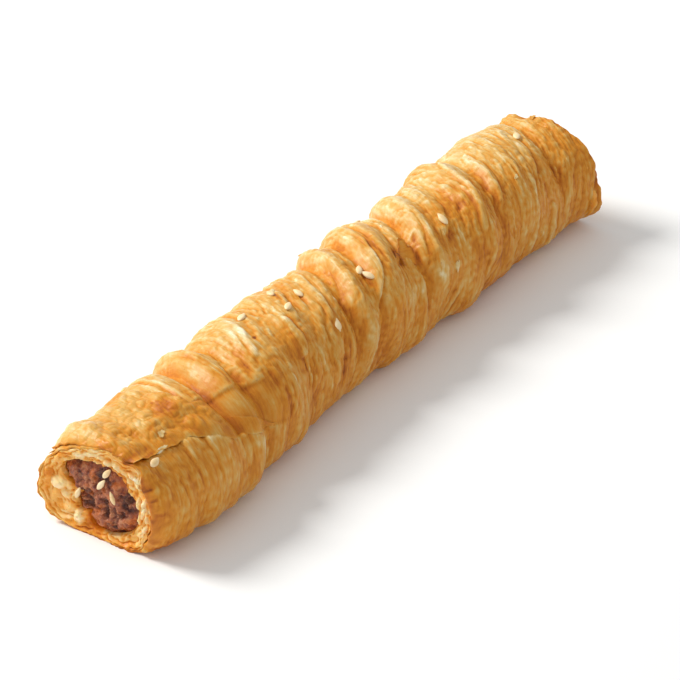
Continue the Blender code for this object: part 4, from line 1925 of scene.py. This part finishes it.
@dataclass
class FiloFlakes:
    """Torn flakes of filo on the skin and at both rims.

    Attributes:
        form: The stick.
        pattern: Its folds.
        thick: Thickness of a flake, in millimetres.
        spots: The flakes, as the values of a Flake.
    """

    form: StickForm
    pattern: FoldPattern
    thick: float = 0.24
    spots: tuple = (
        (101, 60, 70, 6.2, 4.0, 22, 0.56), (98, 62, 60, 3.0, 1.4, 20, 0.72),
        (105, 66, 40, 1.8, 1.0, 20, 0.3), (9, 50, 4, 3.2, 0.9, 0, 0.14), (12, 60, 20, 2.2, 1.3, 3, 0.2),
        (69, 114, 30, 3.2, 1.4, 4, 0.16), (141, 55, 30, 1.4, 0.8, 8, 0.2),
        (112, 22, 60, 2.4, 1.3, 0, 0.2), (126, 190, 60, 2.8, 1.6, 8, 0.35),
        (92, 150, 100, 1.6, 1.0, 16, 0.3), (35, 190, 30, 2.2, 1.1, 12, 0.4),
        (2, 171, 172, 3.0, 1.3, 8, 0.35), (2, 196, 165, 2.8, 1.2, 9, 0.45),
        (1.5, 150, 175, 2.2, 1.1, 6, 0.3), (164, 100, 10, 1.8, 1.1, 5, 0.4),
        (164, 160, 0, 2.0, 1.1, 6, 0.4),
    )

    def build(self, material: bpy.types.Material) -> None:
        """Make all the flakes as one piece."""
        flakes = [self.make_flake(number, Flake(*spot)) for number, spot in enumerate(self.spots)]
        finish_piece(join_pieces("filo_flakes", flakes), material, "baked_filo")

    def make_flake(self, number: int, flake: Flake) -> bpy.types.Object:
        """Make one thin flake with an uneven outline where it lies."""
        draw = np.random.default_rng(700 + number)
        deselect_all()
        bpy.ops.mesh.primitive_uv_sphere_add(segments=28, ring_count=12, radius=1.0)
        piece = bpy.context.active_object
        points = read_points(piece)
        around = np.arctan2(points[:, 1], points[:, 0])
        shift = draw.uniform(0.0, 6.28, 3)
        outline = 1.0 + 0.16 * np.sin(3.0 * around + shift[0]) + 0.12 * np.sin(5.0 * around + shift[1])
        outline = outline + 0.05 * np.sin(9.0 * around + shift[2])
        shaped = points * np.array([0.5 * flake.long, 0.5 * flake.wide, 0.5 * self.thick])
        shaped[:, :2] *= outline[:, None]
        bend = 0.12 * flake.wide * ((points[:, 1] * outline) ** 2 - 0.4 * points[:, 0] * points[:, 1])
        shaped[:, 2] += 0.08 + bend * np.sign(draw.uniform(-0.4, 1.0))
        turn, spot = skin_frame(self.form, self.pattern, flake.place, flake.angle, flake.heading)
        tilted = turn @ Matrix.Rotation(-np.radians(flake.tilt), 3, "Y")
        move_points(piece, shaped @ np.array(tilted).T + np.array(spot))
        edge = smooth_step(0.6, 1.0, np.hypot(points[:, 0], points[:, 1]))
        store_values(piece, "bake", flake.bake * (1.0 + 0.5 * edge))
        store_values(piece, "crease_shade", 0.0 * edge)
        store_vectors(piece, "run", shaped + 9.0 * number)
        face_outwards(piece)
        return piece


# --------------------------------------------------------------------------- the scene


@dataclass
class Studio:
    """A pale floor, soft light from behind on the left, and the camera.

    Attributes:
        target: What the camera looks at, in millimetres.
        aim_right: How far it looks past that to its right.
        aim_down: How far it looks below it.
        azimuth: The camera's turn about the target, in degrees.
        elevation: Its angle over the floor, in degrees.
        distance: Its distance.
        lens: Its focal length.
        key_way: Direction of the key light.
        key_distance: The key light's distance.
        key_size: Its width.
        key_power: Its power, in watts.
        sky: Strength of the even light from all round.
        floor_colour: Colour of the floor.
    """

    target: tuple = (0.0, 0.0, 11.5)
    aim_right: float = 1.7
    aim_down: float = 4.25
    azimuth: float = -55.2
    elevation: float = 31.6
    distance: float = 1181.0
    lens: float = 294.2
    key_way: tuple = (-0.19, 0.73, 0.66)
    key_distance: float = 900.0
    key_size: float = 350.0
    key_power: float = 8.0
    sky: float = 0.585
    floor_colour: tuple = (0.95, 0.955, 0.945, 1.0)

    def build(self) -> None:
        """Set up floor, light and camera."""
        self.add_floor()
        self.add_light()
        self.add_camera()

    def add_floor(self) -> None:
        """Lay a large plain floor."""
        deselect_all()
        bpy.ops.mesh.primitive_plane_add(size=6.0, location=(0.0, 0.0, 0.0))
        floor = name_piece(bpy.context.active_object, "pale_floor")
        material = bpy.data.materials.new("pale_floor")
        material.use_nodes = True
        shader = material.node_tree.nodes["Principled BSDF"]
        shader.inputs["Base Color"].default_value = self.floor_colour
        shader.inputs["Roughness"].default_value = 0.8
        shader.inputs["Specular IOR Level"].default_value = 0.1
        floor.data.materials.append(material)

    def add_light(self) -> None:
        """Hang a soft key light and an even sky."""
        data = bpy.data.lights.new("key", "AREA")
        data.shape = "DISK"
        data.size = self.key_size * MM
        data.energy = self.key_power
        data.color = (1.0, 0.985, 0.96)
        key = bpy.data.objects.new("key", data)
        way = Vector(self.key_way).normalized()
        key.location = way * self.key_distance * MM
        key.rotation_euler = way.to_track_quat("Z", "Y").to_euler()
        bpy.context.scene.collection.objects.link(key)
        world = bpy.data.worlds.new("studio")
        world.use_nodes = True
        tree = Tree(world.node_tree)
        glow = tree.tree.nodes["Background"]
        glow.inputs["Color"].default_value = (1.0, 1.0, 1.0, 1.0)
        seen = tree.add("LightPath")
        strength = tree.maths("MULTIPLY_ADD", seen.outputs["Is Camera Ray"], 1.0 - self.sky, self.sky)
        tree.join(strength, glow.inputs["Strength"])
        bpy.context.scene.world = world
        bpy.context.scene.view_settings.view_transform = "Standard"

    def add_camera(self) -> None:
        """Place the long-lens camera."""
        azimuth = np.radians(self.azimuth)
        elevation = np.radians(self.elevation)
        level = math.cos(elevation)
        away = Vector((math.sin(azimuth) * level, -math.cos(azimuth) * level, math.sin(elevation)))
        data = bpy.data.cameras.new("camera")
        data.lens = self.lens
        data.sensor_width = 36.0
        data.clip_start = 0.01
        data.clip_end = 100.0
        camera = bpy.data.objects.new("camera", data)
        turn = away.to_track_quat("Z", "Y")
        aim = Vector(self.target) + turn @ Vector((self.aim_right, -self.aim_down, 0.0))
        camera.location = (aim + away * self.distance) * MM
        camera.rotation_euler = turn.to_euler()
        bpy.context.scene.collection.objects.link(camera)
        bpy.context.scene.camera = camera


def main() -> None:
    """Build the borek and its studio."""
    logging.basicConfig(level=logging.INFO, format="%(name)s %(message)s")
    form = StickForm()
    pattern = FoldPattern(form)
    mottle = build_mottle_group()
    filo = FiloFinish("baked_filo", mottle).build()
    mince = MinceFinish("minced_filling", mottle).build()
    sesame = SeedFinish("sesame", mottle).build()
    dough = FiloFinish("cut_filo", mottle, stops=CUT_STOPS, streaking=0.2, glow=0.35).build()
    PastryWraps(form, pattern).build(filo)
    TopSheet(form, pattern).build(filo)
    CutEnd(form, pattern, "near_end_layers", StickEnd.NEAR, NEAR_LUMPS, NEAR_LOBES, 51).build(dough)
    CutEnd(form, pattern, "far_end_layers", StickEnd.FAR, FAR_LUMPS, FAR_LOBES, 52).build(dough)
    MincedFilling(form, NEAR_LOBES, FAR_LOBES).build(mince)
    SesameSeeds(form, pattern).build(sesame)
    FiloFlakes(form, pattern).build(filo)
    Studio().build()


if __name__ == "__main__":
    main()
